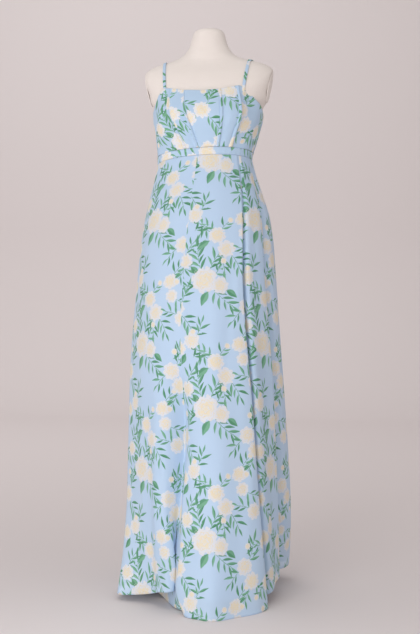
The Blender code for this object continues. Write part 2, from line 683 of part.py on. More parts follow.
def make_stand(finish):
    """The round base and the pole that carries the form."""
    turn = np.linspace(0.0, 360.0, 48, endpoint=False)
    profile = (
        (BASE_RADIUS, 0.0),
        (BASE_RADIUS, BASE_THICKNESS - BASE_EDGE),
        (BASE_RADIUS - BASE_EDGE * 0.3, BASE_THICKNESS - BASE_EDGE * 0.3),
        (BASE_RADIUS - BASE_EDGE, BASE_THICKNESS),
    )
    loft("stand_base", [at_bearing(turn, r, z) for r, z in profile], finish)
    turn = np.linspace(0.0, 360.0, 24, endpoint=False)
    ends = (BASE_THICKNESS + FORM_GAP, FORM_BOTTOM_Z - FORM_GAP)
    loft("stand_pole", [at_bearing(turn, POLE_RADIUS, z) for z in ends], finish)


def strap_path(form, side):
    """Centre line and outward normals of a strap over one shoulder of the form."""
    tree = BVHTree.FromPolygons(
        [tuple(v.co) for v in form.data.vertices], [tuple(p.vertices) for p in form.data.polygons]
    )
    points, normals = [], []
    for k in range(STRAP_STEPS + 1):
        turn = math.pi * k / STRAP_STEPS
        share = 2.0 * k / STRAP_STEPS - 1.0
        end_x, end_z = (STRAP_FRONT_X, STRAP_FRONT_Z) if share < 0 else (STRAP_BACK_X, STRAP_BACK_Z)
        x = STRAP_TOP_X + (end_x - STRAP_TOP_X) * abs(share)
        z = STRAP_FRONT_Z + (end_z - STRAP_FRONT_Z) * abs(share)
        pivot = Vector((side * x, 0.0, z))
        way = Vector((0.0, -math.cos(turn), math.sin(turn)))
        hit, normal, _, _ = tree.ray_cast(pivot + way, -way)
        points.append(hit)
        normals.append(normal)
    return points, normals


def make_straps(form, finish):
    """Two flat straps, from inside the front edge over the shoulder to inside the back edge."""
    for name, side in (("strap_left", -1), ("strap_right", 1)):
        points, normals = strap_path(form, side)
        rings = []
        for k, (point, normal) in enumerate(zip(points, normals)):
            along = (points[min(k + 1, len(points) - 1)] - points[max(k - 1, 0)]).normalized()
            across = along.cross(normal).normalized()
            out = across.cross(along)
            low = point + out * STRAP_CLEARANCE
            high = low + out * STRAP_THICKNESS
            half = across * STRAP_WIDTH / 2
            rings.append([low - half, low + half, high + half, high - half])
        loft(name, rings, finish)


def main():
    """Builds every piece."""
    for old in list(bpy.data.objects):
        bpy.data.objects.remove(old, do_unlink=True)
    sheer = material("printed sheer cloth", SHEER_BLUE, 0.75)
    lining = material("plain lining", LINING_BLUE, 0.7)
    cover = material("cream form cover", FORM_CREAM, 0.9)
    metal = material("painted stand", STAND_GREY, 0.45)
    form = make_form(cover)
    make_stand(metal)
    make_bodice(sheer)
    make_waistband(sheer)
    make_straps(form, sheer)
    make_skirt(sheer, lining)


main()
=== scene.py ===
"""The looks of a maternity maxi dress of printed chiffon over a plain lining, worn by a covered dress form.

Metres, +Z up, the dress facing -Y. A bearing is an angle round the body: 0 is the front, +90 is +X and 180
is the back. Cloth is made through lines of cloth that run from a seam down to a hem, and each point of it
knows its place on the flat cut, in metres, which is where the print and the weave are read.
"""

import logging
import math
from dataclasses import dataclass, field
from enum import Enum
from typing import Any, Iterable, Mapping, Sequence

import bmesh
import bpy
import numpy as np
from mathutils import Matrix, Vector
from mathutils.bvhtree import BVHTree


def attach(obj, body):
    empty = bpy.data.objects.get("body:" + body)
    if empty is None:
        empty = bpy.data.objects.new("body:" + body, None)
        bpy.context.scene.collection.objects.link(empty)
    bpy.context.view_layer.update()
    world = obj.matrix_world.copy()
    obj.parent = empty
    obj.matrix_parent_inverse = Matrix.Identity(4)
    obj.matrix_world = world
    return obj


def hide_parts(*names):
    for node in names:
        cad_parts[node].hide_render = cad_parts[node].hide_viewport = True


log = logging.getLogger("dress")
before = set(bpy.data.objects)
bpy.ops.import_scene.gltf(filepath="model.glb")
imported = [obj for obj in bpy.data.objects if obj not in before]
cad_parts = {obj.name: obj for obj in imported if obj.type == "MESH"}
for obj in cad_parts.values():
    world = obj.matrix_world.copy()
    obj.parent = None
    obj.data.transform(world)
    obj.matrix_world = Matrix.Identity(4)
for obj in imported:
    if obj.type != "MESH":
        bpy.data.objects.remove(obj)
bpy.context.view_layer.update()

WAIST_SEAM_Z = 1.222
WAIST_SEAM_SLOPE = 0.04
WAIST_SEAM_SAG = 0.30
BAND_HEIGHT = 0.020
SEAM_GAP = 0.0004


@dataclass(frozen=True)
class Fold:
    """A line of cloth from the waist seam to the hem.

    The five bearings are at the stations of the skirt. radius is where the line meets the hem, lift is the
    hem's height there, start is the height where the fold begins, and growth is 1 for a fold that deepens
    evenly, less for one that opens at once and more for one that opens near the hem.
    """

    name: str
    waist: float
    hip: float
    knee: float
    shin: float
    hem: float
    radius: float
    lift: float
    start: float
    growth: float

    def path(self, sections: Sequence[Sequence[float]], height: np.ndarray) -> tuple[np.ndarray, np.ndarray]:
        """The line's bearings and distances from the axis at every height, on a skirt of given sections.

        Args:
            sections: the skirt's sections, a row for each height.
            height: the heights where the line is wanted, in metres.

        Returns:
            The bearings, in degrees, and the distances, in metres.
        """
        stations = (-1.222, -0.950, -0.550, -0.220, 0.000)
        bearing = smooth_between(-height, stations, (self.waist, self.hip, self.knee, self.shin, self.hem))
        stand = self.radius - ring_radius(self.hem, *section_at(sections, 0.0))
        grown = np.clip((self.start - height) / self.start, 0.0, 1.0) ** self.growth
        return bearing, ring_radius(bearing, *section_at(sections, height)) + stand * grown


@dataclass(frozen=True)
class ValleyLine:
    """A line of the valley left of the front, which is open above and shuts to a pleat near the floor.

    lift is the hem's height there. The bearings are at the valley's heights, and the radii at the lowest six
    of them: above these the cloth lies on the plain section.
    """

    name: str
    lift: float
    bearings: tuple[float, ...]
    radii: tuple[float, ...]

    def path(self, sections: Sequence[Sequence[float]], height: np.ndarray) -> tuple[np.ndarray, np.ndarray]:
        """The line's bearings and distances from the axis at every height, on a skirt of given sections.

        Args:
            sections: the skirt's sections, a row for each height.
            height: the heights where the line is wanted, in metres.

        Returns:
            The bearings, in degrees, and the distances, in metres.
        """
        stations = np.array([-1.222, -0.950, -0.700, -0.460, -0.300, -0.200, -0.120, -0.060, 0.000])
        plain = ring_radius(np.array(self.bearings), *section_at(sections, -stations))
        stand = np.zeros(len(stations))
        stand[-len(self.radii) :] = np.array(self.radii) - plain[-len(self.radii) :]
        bearing = smooth_between(-height, stations, self.bearings)
        grown = smooth_between(-height, stations, stand)
        return bearing, ring_radius(bearing, *section_at(sections, height)) + grown


@dataclass(frozen=True)
class BodiceLine:
    """A line of cloth from the bodice's top edge to the band. rise is how far it stands out, in metres."""

    name: str
    band: float
    top: float
    band_rise: float
    top_rise: float


@dataclass(frozen=True)
class Crease:
    """A soft ridge or trough, from one place on the flat cut to another, in metres.

    across is measured from the panel's own middle line and down from its top edge. height is positive for a
    ridge and negative for a trough. width is from its crest to where it has faded.
    """

    across: float
    down: float
    foot_across: float
    foot_down: float
    width: float
    height: float

    def rise(self, across: np.ndarray, down: np.ndarray) -> np.ndarray:
        """How far the crease lifts each point of the flat cut.

        Args:
            across: the points' places across the cut, in metres.
            down: their places down the cut.

        Returns:
            The rise of each, in metres.
        """
        along = np.array([self.foot_across - self.across, self.foot_down - self.down])
        length = float(np.hypot(*along))
        along = along / length
        dx, dy = across - self.across, down - self.down
        share = (dx * along[0] + dy * along[1]) / length
        off = dx * along[1] - dy * along[0]
        window = np.clip(np.sin(np.pi * np.clip(share, 0, 1)), 0, 1) ** 0.7
        return self.height * window * np.exp(-((off / self.width) ** 2))


def smooth_between(x: Any, xs: Sequence[float], ys: Sequence[float]) -> Any:
    """The smooth curve through the points (xs, ys), read at x.

    Args:
        x: where the curve is read, one place or many.
        xs: where its points are, ascending.
        ys: its values there.

    Returns:
        The curve's values at x.
    """
    xs, ys = np.asarray(xs, float), np.asarray(ys, float)
    slopes = np.gradient(ys, xs)
    x = np.clip(x, xs[0], xs[-1])
    i = np.clip(np.searchsorted(xs, x) - 1, 0, len(xs) - 2)
    span = xs[i + 1] - xs[i]
    s = (x - xs[i]) / span
    return (
        (2 * s**3 - 3 * s**2 + 1) * ys[i]
        + (s**3 - 2 * s**2 + s) * span * slopes[i]
        + (3 * s**2 - 2 * s**3) * ys[i + 1]
        + (s**3 - s**2) * span * slopes[i + 1]
    )


def section_at(sections: Sequence[Sequence[float]], z: Any) -> list:
    """Every column of a section table but the first, at the height z."""
    table = np.asarray(sections, float)
    return [smooth_between(z, table[:, 0], table[:, k]) for k in range(1, table.shape[1])]


def ring_radius(bearing: Any, left: Any, right: Any, front: Any, back: Any, power: Any) -> Any:
    """Distance from the axis to a rounded section, in the direction of a bearing in degrees.

    Args:
        bearing: the direction, in degrees.
        left: the section's half width on the left, in metres.
        right: its half width on the right.
        front: its depth in front of the axis.
        back: its depth behind the axis.
        power: how square it is, 2 for an ellipse and more for a fuller one.

    Returns:
        The distance, in metres.
    """
    turn = np.radians(bearing)
    across, along = np.sin(turn), -np.cos(turn)
    half = np.where(across < 0, left, right)
    depth = np.where(along < 0, front, back)
    return (np.abs(across / half) ** power + np.abs(along / depth) ** power) ** (-1 / power)


def wrapped(bearing: Any) -> Any:
    """A bearing between -180 and 180 degrees."""
    return (np.asarray(bearing, float) + 180.0) % 360.0 - 180.0


def at_bearing(bearing: Any, radius: Any, z: Any) -> np.ndarray:
    """Points at a bearing, a distance from the axis and a height, as rows of x, y, z."""
    turn = np.radians(bearing)
    return np.stack([radius * np.sin(turn), -radius * np.cos(turn), z + 0 * turn], axis=-1)


def waist_seam_z(x: Any) -> Any:
    """Height of the waist seam, which hangs lower at the sides, and more so on the left."""
    return WAIST_SEAM_Z + WAIST_SEAM_SLOPE * x - WAIST_SEAM_SAG * x**2


def spline_span(
    before: np.ndarray, start: np.ndarray, end: np.ndarray, after: np.ndarray, s: float
) -> np.ndarray:
    """Points of a smooth curve from start to end, with knots by the root of the distance.

    Args:
        before: the points before the span.
        start: the span's first points.
        end: the span's last points.
        after: the points after the span.
        s: how far along the span, 0 to 1.

    Returns:
        The points there.
    """

    def knot(a: np.ndarray, b: np.ndarray) -> np.ndarray:
        """The step of the curve's own measure from one row of points to another."""
        return np.sqrt(np.linalg.norm(b - a, axis=-1, keepdims=True) + 1e-9)

    t0 = 0.0
    t1 = t0 + knot(before, start)
    t2 = t1 + knot(start, end)
    t3 = t2 + knot(end, after)
    t = t1 + s * (t2 - t1)
    a1 = (t1 - t) / (t1 - t0) * before + (t - t0) / (t1 - t0) * start
    a2 = (t2 - t) / (t2 - t1) * start + (t - t1) / (t2 - t1) * end
    a3 = (t3 - t) / (t3 - t2) * end + (t - t2) / (t3 - t2) * after
    b1 = (t2 - t) / (t2 - t0) * a1 + (t - t0) / (t2 - t0) * a2
    b2 = (t3 - t) / (t3 - t1) * a2 + (t - t1) / (t3 - t1) * a3
    return (t2 - t) / (t2 - t1) * b1 + (t - t1) / (t2 - t1) * b2


@dataclass
class ClothRing:
    """A closed ring of cloth: a grid of column, row, xyz whose bearings ascend and whose rows run down.

    starts holds the column at which each line of cloth lies, by name.
    """

    grid: np.ndarray
    starts: dict[str, int]

    @classmethod
    def through(cls, lines: np.ndarray, names: Sequence[str], step: float) -> "ClothRing":
        """The ring through lines of cloth.

        Args:
            lines: an array of line, row, xyz.
            names: the lines' names.
            step: the widest that a column may be at the bottom edge, in metres.

        Returns:
            The ring, whose columns divide each span by its width at the bottom.
        """
        count = len(lines)
        columns, starts = [], {}
        for i in range(count):
            before, start, end, after = (lines[(i + k) % count] for k in (-1, 0, 1, 2))
            pieces = max(2, math.ceil(np.linalg.norm(end[-1] - start[-1]) / step))
            starts[names[i]] = len(columns)
            for k in range(pieces):
                columns.append(spline_span(before, start, end, after, k / pieces))
        return cls(np.array(columns), starts)

    def normals(self) -> np.ndarray:
        """Outward normals, level along the top and the bottom edge.

        Returns:
            A unit vector for each point of the grid.
        """
        across = np.roll(self.grid, -1, axis=0) - np.roll(self.grid, 1, axis=0)
        down = np.gradient(self.grid, axis=1)
        normal = np.cross(down, across)
        normal[:, (0, -1), 2] = 0.0
        return normal / np.linalg.norm(normal, axis=-1, keepdims=True)

    def panel(self, first: str, *breadths: tuple[str, str, float]) -> "ClothPanel":
        """The panel that starts at a named line.

        Args:
            first: the name of the line where it starts.
            breadths: its breadths in order, each as the names of its middle line and its last line, and the
                width of cloth folded away before it, in metres.

        Returns:
            The panel.
        """
        count = len(self.grid)
        a = self.starts[first]
        ends = [(self.starts[last] - a) % count for _, last, _ in breadths]
        middles = [(self.starts[middle] - a) % count for middle, _, _ in breadths]
        span = (a + np.arange(ends[-1] + 1)) % count
        folded = [hidden for _, _, hidden in breadths]
        parts = list(zip([0] + ends[:-1], middles, ends, folded))
        return ClothPanel(self.grid[span], self.normals()[span], parts)


@dataclass
class ClothPanel:
    """A panel of cloth: its points, their outward normals, and where the flat cut's middle line lies."""

    points: np.ndarray
    normals: np.ndarray
    breadths: list[tuple[int, int, int, float]]
    level: float = 0.6
    across: np.ndarray = field(init=False)
    down: np.ndarray = field(init=False)

    def __post_init__(self) -> None:
        """Works out each face's place on the flat cut, in metres, as a grid of column, row, left and right.

        Along each row the cloth keeps its length from the middle line of its breadth. Where two breadths
        meet, in the depth of a fold, the cut is whole at one level only.
        """
        columns, rows = self.points.shape[:2]
        step = np.linalg.norm(np.diff(self.points, axis=0), axis=-1)
        self.across = np.zeros((columns - 1, rows, 2))
        self.down = np.zeros((columns - 1, rows, 2))
        reach, row = 0.0, int(self.level * (rows - 1))
        for first, middle, last, folded in self.breadths:
            run = np.concatenate([np.zeros((1, rows)), np.cumsum(step[first:last], axis=0)])
            run = run - run[middle - first]
            run = run + (reach + folded - run[0, row])
            reach = run[-1, row]
            drop = np.linalg.norm(np.diff(self.points[first : last + 1], axis=1), axis=-1)
            fall = np.sqrt(np.maximum(drop**2 - np.diff(run, axis=1) ** 2, (0.6 * drop) ** 2))
            fall = np.concatenate([-self.points[first : last + 1, :1, 2], fall], axis=1)
            fall = np.cumsum(fall, axis=1)
            for grid, values in ((self.across, run), (self.down, fall)):
                grid[first:last, :, 0] = values[:-1]
                grid[first:last, :, 1] = values[1:]
        middle = self.breadths[len(self.breadths) // 2][1]
        self.across -= self.across[middle, row, 0]
        self.down -= self.down[middle, 0, 0]

    def at_points(self, values: np.ndarray) -> np.ndarray:
        """Values of the flat cut for points, not faces."""
        return np.concatenate([values[..., 0], values[-1:, :, 1]])

    def lift(self, rise: np.ndarray) -> None:
        """Moves every point out by its rise, in metres."""
        self.points = self.points + rise[..., None] * self.normals

    def crease(self, creases: Iterable[Crease]) -> None:
        """Raises the creases in the cloth."""
        across, down = self.at_points(self.across), self.at_points(self.down)
        self.lift(sum(crease.rise(across, down) for crease in creases))

    def trim_sides(self, gap: float) -> None:
        """Keeps the side edges half a gap from the seam.

        Args:
            gap: the gap at the seam, in metres.
        """
        for end, inner in ((0, 1), (-1, -2)):
            along = self.points[inner] - self.points[end]
            self.points[end] += gap / 2 * along / np.linalg.norm(along, axis=-1, keepdims=True)

    def turn_edge(self, at_top: bool, depth: float, room: float) -> None:
        """Turns a narrow hem inside, at the top edge or at the bottom.

        Args:
            at_top: whether the top edge is turned, and not the bottom one.
            depth: how deep the turned hem is, in metres.
            room: how far inside the panel it lies.
        """
        if at_top:
            self._flip()
        edge, above = self.points[:, -1], self.points[:, -2]
        down = edge - above
        down /= np.linalg.norm(down, axis=-1, keepdims=True)
        level = self.normals[:, -1]
        # The turned cloth's place beyond the edge and inside it, and how much cloth has run by then
        turned = (
            (0.03, 0.5, 0.03),
            (0.0, 0.93, 0.06),
            (-0.1, 1.0, 0.16),
            (-0.55, 1.0, 0.6),
            (-1.0, 1.0, 1.05),
        )
        beyond, inside, run = (column[None, :, None] for column in np.array(turned).T)
        added = edge[:, None] + depth * beyond * down[:, None] - room * inside * level[:, None]
        self.points = np.concatenate([self.points, added], axis=1)
        self.normals = np.concatenate([self.normals] + [-level[:, None]] * len(turned), axis=1)
        self.across = np.concatenate([self.across] + [self.across[:, -1:]] * len(turned), axis=1)
        sense = 1.0 if self.down[0, -1, 0] > self.down[0, -2, 0] else -1.0
        further = self.down[:, -1:] + sense * depth * run
        self.down = np.concatenate([self.down, further], axis=1)
        if at_top:
            self._flip()

    def _flip(self) -> None:
        """Turns the rows upside down."""
        self.points, self.normals = self.points[:, ::-1], self.normals[:, ::-1]
        self.across, self.down = self.across[:, ::-1], self.down[:, ::-1]

    def mesh(self, name: str) -> bpy.types.Object:
        """The panel as an object, with the flat cut as its UV map, in metres.

        Args:
            name: the object's name.

        Returns:
            The object.
        """
        columns, rows = self.points.shape[:2]
        corner = np.arange(columns * rows).reshape(columns, rows)
        faces = np.stack(
            [corner[:-1, :-1], corner[:-1, 1:], corner[1:, 1:], corner[1:, :-1]], axis=-1
        ).reshape(-1, 4)
        made = bpy.data.meshes.new(name)
        made.from_pydata(self.points.reshape(-1, 3).tolist(), [], faces.tolist())
        flat = np.stack([self.across, -self.down], axis=-1)
        flat = np.stack([flat[:, :-1, 0], flat[:, 1:, 0], flat[:, 1:, 1], flat[:, :-1, 1]], axis=2)
        cut = made.uv_layers.new(name="cut")
        cut.data.foreach_set("uv", flat.astype(np.float32).reshape(-1))
        made.shade_smooth()
        piece = bpy.data.objects.new(name, made)
        bpy.context.scene.collection.objects.link(piece)
        return piece


def linear(hex_colour: str) -> tuple[float, float, float, float]:
    """An sRGB hex colour as linear red, green, blue and alpha."""
    parts = [int(hex_colour.lstrip("#")[k : k + 2], 16) / 255 for k in (0, 2, 4)]
    return tuple(p / 12.92 if p <= 0.04045 else ((p + 0.055) / 1.055) ** 2.4 for p in parts) + (1.0,)


def add_node(
    tree: bpy.types.NodeTree, kind: str, feeds: Mapping | Sequence = (), **settings: Any
) -> bpy.types.Node:
    """Adds a node to a tree.

    Args:
        tree: the node tree.
        kind: the node's type, without its common first words.
        feeds: a value or another node's output for each input, in order, or by name or number.
        settings: the node's own settings.

    Returns:
        The node.
    """
    node = tree.nodes.new(kind if kind.startswith("Node") else "ShaderNode" + kind)
    for name, value in settings.items():
        setattr(node, name, value)
    for key, value in feeds.items() if isinstance(feeds, Mapping) else enumerate(feeds):
        if isinstance(value, bpy.types.NodeSocket):
            tree.links.new(value, node.inputs[key])
        else:
            node.inputs[key].default_value = value
    return node


def new_material(name: str) -> tuple[bpy.types.Material, bpy.types.NodeTree, bpy.types.Node]:
    """Adds a material with nodes.

    Args:
        name: its name.

    Returns:
        The material, its node tree and its shader.
    """
    made = bpy.data.materials.new(name)
    made.use_nodes = True
    return made, made.node_tree, made.node_tree.nodes["Principled BSDF"]


class Layer(Enum):
    """The print's screens, from the first printed to the last. Each is an attribute of the cloth."""

    STEM = "print_stem"
    LEAF_1 = "print_leaf_1"
    LEAF_2 = "print_leaf_2"
    LEAF_3 = "print_leaf_3"
    ROSE_1 = "print_rose_1"
    ROSE_2 = "print_rose_2"


@dataclass(frozen=True)
class Rose:
    """A rose of the repeat, in millimetres across and down. cream is how much of it is cream, 0 to 1."""

    across: float
    down: float
    radius: float
    turn: float
    cream: float


@dataclass(frozen=True)
class Spray:
    """A leafy stem of the repeat, in millimetres and degrees. heading 0 is to the right and 90 is up.

    It ends in a leaf, or in a bud where bud, its radius, is given.
    """

    across: float
    down: float
    heading: float
    length: float
    bend: float
    leaves: int
    leaf: float
    bud: float = 0.0


@dataclass(frozen=True)
class BroadLeaf:
    """A single broad leaf of the repeat, in millimetres and degrees."""

    across: float
    down: float
    heading: float
    length: float
    half_width: float


@dataclass
class Motif:
    """One shape of the print. x and y are its middle and the axes are its own, in metres and degrees."""

    x: float
    y: float
    heading: float
    half_length: float
    half_width: float
    tone: float


@dataclass
class FloralPrint:
    """The half-drop repeat of roses, buds and leafy sprays, charted in millimetres."""

    width: float = 260.0
    height: float = 340.0
    roses: tuple[Rose, ...] = (
        Rose(178, 212, 37, 20, 0.50),
        Rose(221, 227, 24, 70, 0.40),
        Rose(206, 91, 24, 10, 0.60),
        Rose(233, 128, 25, 50, 0.45),
        Rose(142, 33, 23, 0, 0.50),
        Rose(105, 53, 21, 40, 0.70),
        Rose(36, 112, 24, 30, 0.45),
        Rose(61, 150, 24, 80, 0.65),
        Rose(100, 287, 25, 15, 0.65),
        Rose(60, 311, 23, 65, 0.45),
        Rose(12, 213, 22, 25, 0.60),
        Rose(22, 252, 19, 60, 0.50),
        Rose(122, 160, 22, 35, 0.50),
    )
    sprays: tuple[Spray, ...] = (
        Spray(170, 190, 116, 68, -26, 8, 39),
        Spray(190, 188, 74, 52, -20, 6, 36),
        Spray(204, 200, 44, 40, 24, 5, 31, 9),
        Spray(204, 240, -52, 66, 24, 8, 37),
        Spray(156, 226, 196, 42, -24, 5, 32, 9.5),
        Spray(194, 80, 136, 46, 24, 6, 34),
        Spray(214, 78, 66, 34, -24, 4, 30, 8.5),
        Spray(246, 140, -44, 52, -22, 6, 35),
        Spray(226, 142, -96, 44, 22, 5, 33),
        Spray(154, 24, 52, 42, 26, 5, 32),
        Spray(148, 46, -58, 50, 24, 6, 34),
        Spray(94, 58, 198, 46, -26, 5, 33, 9),
        Spray(46, 100, 58, 54, 26, 7, 36),
        Spray(22, 122, 214, 42, 24, 5, 32),
        Spray(74, 160, -36, 62, 24, 8, 37),
        Spray(54, 166, -100, 46, -22, 5, 33, 9),
        Spray(112, 274, 52, 48, 24, 6, 35),
        Spray(112, 302, -40, 52, -24, 7, 35, 9),
        Spray(48, 304, 150, 42, 26, 5, 32),
        Spray(18, 200, 68, 38, -24, 5, 32, 8.5),
        Spray(34, 258, -34, 38, 26, 5, 31),
        Spray(124, 144, 76, 42, -26, 5, 33),
        Spray(108, 168, 206, 34, 24, 4, 30, 8.5),
    )
    broad_leaves: tuple[BroadLeaf, ...] = (
        BroadLeaf(190, 242, -116, 46, 10.5),
        BroadLeaf(236, 238, -34, 38, 9.0),
        BroadLeaf(188, 106, 214, 42, 9.5),
        BroadLeaf(124, 66, -122, 38, 8.5),
        BroadLeaf(84, 300, -132, 42, 9.5),
        BroadLeaf(138, 174, -48, 36, 8.5),
    )
    first_bud: int = 20
    bud_cream: float = 0.7
    stem_half_width: float = 0.7
    leaf_slimness: float = 0.108
    motifs: dict[Layer, list[Motif]] = field(init=False)

    def __post_init__(self) -> None:
        """Lays the motifs out on their screens."""
        self.motifs = {layer: [] for layer in Layer}
        leaves: list[Motif] = []
        roses: list[Motif] = []
        for k, rose in enumerate(self.roses):
            roses.append(Motif(rose.across, rose.down, rose.turn, rose.radius, rose.radius, k + rose.cream))
        for k, spray in enumerate(self.sprays):
            leaves += self._grow(spray)
            if spray.bud:
                end = leaves.pop()
                turn = math.radians(end.heading)
                x = end.x + (spray.bud - end.half_length) * math.cos(turn)
                y = end.y - (spray.bud - end.half_length) * math.sin(turn)
                tone = self.first_bud + k + self.bud_cream
                roses.append(Motif(x, y, end.heading, spray.bud, spray.bud, tone))
        for k, leaf in enumerate(self.broad_leaves):
            half = leaf.length / 2
            turn = math.radians(leaf.heading)
            x = leaf.across + half * math.cos(turn)
            y = leaf.down - half * math.sin(turn)
            leaves.append(Motif(x, y, leaf.heading, half, leaf.half_width, 0.35 + 0.3 * (k % 2)))
        self._share_out(leaves, (Layer.LEAF_1, Layer.LEAF_2, Layer.LEAF_3))
        self._share_out(roses, (Layer.ROSE_1, Layer.ROSE_2))

    def _grow(self, spray: Spray) -> list[Motif]:
        """Puts a spray's stem on its screen, and gives its leaves, set alternately on the stem.

        Args:
            spray: the spray.

        Returns:
            Its leaves, from the base to the tip.
        """
        steps = max(3, round(spray.length / 10))
        x, y, turn = spray.across, spray.down, math.radians(spray.heading)
        points = [(x, y, turn)]
        for _ in range(steps):
            turn += math.radians(spray.bend) / steps
            x += spray.length / steps * math.cos(turn)
            y -= spray.length / steps * math.sin(turn)
            points.append((x, y, turn))
        for (x0, y0, _), (x1, y1, heading) in zip(points, points[1:]):
            middle = ((x0 + x1) / 2, (y0 + y1) / 2)
            half = spray.length / steps / 2 + self.stem_half_width
            piece = Motif(*middle, math.degrees(heading), half, self.stem_half_width, 0.5)
            self.motifs[Layer.STEM].append(piece)
        leaves = []
        for k in range(spray.leaves):
            share = (k + 0.7) / spray.leaves
            i = min(int(share * steps), steps - 1)
            part = share * steps - i
            px = points[i][0] + part * (points[i + 1][0] - points[i][0])
            py = points[i][1] + part * (points[i + 1][1] - points[i][1])
            last = k == spray.leaves - 1
            spread = 0.0 if last else (48 - 14 * share) * (1 if k % 2 else -1)
            long = spray.leaf * (0.92 + 0.16 * math.sin(2.1 * k + spray.across))
            angle = points[i][2] + math.radians(spread)
            half = long / 2
            tone = 0.5 + 0.5 * math.sin(2.7 * k + 0.31 * spray.down)
            x, y = px + half * math.cos(angle), py - half * math.sin(angle)
            leaves.append(Motif(x, y, math.degrees(angle), half, long * self.leaf_slimness, tone))
        return leaves

    def _share_out(self, motifs: Sequence[Motif], layers: Sequence[Layer]) -> None:
        """Puts each motif on the screen where it has the most room.

        Args:
            motifs: the motifs, in the order in which they are placed.
            layers: the screens to choose from.
        """
        for motif in motifs:
            room = {layer: 1e9 for layer in layers}
            for layer in layers:
                for other in self.motifs[layer]:
                    for dx, dy in ((0.0, 0.0), (self.width, self.height / 2)):
                        gx = (motif.x - other.x - dx + self.width) % (2 * self.width) - self.width
                        gy = (motif.y - other.y - dy + self.height / 2) % self.height - self.height / 2
                        clear = math.hypot(gx, gy) - 0.8 * (motif.half_length + other.half_length)
                        room[layer] = min(room[layer], clear)
            best = max(layers, key=lambda layer: room[layer])
            self.motifs[best].append(motif)

    def dress(self, piece: bpy.types.Object, shift: tuple[float, float]) -> None:
        """Writes the print on a piece of cloth.

        Each face of the cloth is given to the nearest motif of each screen, and its corners keep their place
        in that motif's own axes, so that the shader can draw the shape as finely as it likes.

        Args:
            piece: the cloth, with its flat cut as its first UV map.
            shift: where the repeat starts on the flat cut, in metres.
        """
        mesh = piece.data
        flat = np.empty(len(mesh.loops) * 2, np.float32)
        mesh.uv_layers[0].data.foreach_get("uv", flat)
        corners = 1000.0 * (flat.reshape(-1, 4, 2).astype(float) * (1.0, -1.0) - shift)
        centre = corners.mean(axis=1)
        for layer, motifs in self.motifs.items():
            places = self._places(corners, centre, motifs).astype(np.float32)
            screen = mesh.attributes.new(layer.value, "FLOAT_VECTOR", "CORNER")
            screen.data.foreach_set("vector", places.reshape(-1))

    def _places(self, corners: np.ndarray, centre: np.ndarray, motifs: Sequence[Motif]) -> np.ndarray:
        """Each corner's place in the nearest motif: along and across in half sizes, and the motif's tone.

        Args:
            corners: each face's corners on the flat cut, in millimetres.
            centre: each face's middle.
            motifs: the motifs of one screen.

        Returns:
            The three numbers of each corner.
        """
        count = len(centre)
        best = np.full(count, 1e9)
        chosen = np.zeros((count, 7))
        for motif in motifs:
            turn = math.radians(motif.heading)
            c, s = math.cos(turn), -math.sin(turn)
            round_motif = motif.half_length == motif.half_width
            for dx, dy in ((0.0, 0.0), (self.width, self.height / 2)):
                x, y = motif.x + dx, motif.y + dy
                x = x + 2 * self.width * np.round((centre[:, 0] - x) / (2 * self.width))
                y = y + self.height * np.round((centre[:, 1] - y) / self.height)
                gx, gy = centre[:, 0] - x, centre[:, 1] - y
                if round_motif:
                    gap = np.hypot(gx, gy) - motif.half_length
                else:
                    along, aside = gx * c + gy * s, -gx * s + gy * c
                    gap = np.hypot(np.maximum(np.abs(along) - motif.half_length, 0), aside)
                    gap = gap - 0.5 * motif.half_width
                near = gap < best
                best[near] = gap[near]
                facts = (c, s, motif.half_length, motif.half_width, motif.tone)
                facts = np.broadcast_to(facts, (int(near.sum()), 5))
                chosen[near] = np.column_stack([x[near], y[near], facts])
        x, y, c, s, half_length, half_width, tone = (chosen[:, None, k] for k in range(7))
        gx, gy = corners[..., 0] - x, corners[..., 1] - y
        along = (gx * c + gy * s) / half_length
        aside = (-gx * s + gy * c) / half_width
        return np.stack([along, aside, np.broadcast_to(tone, along.shape)], axis=-1)


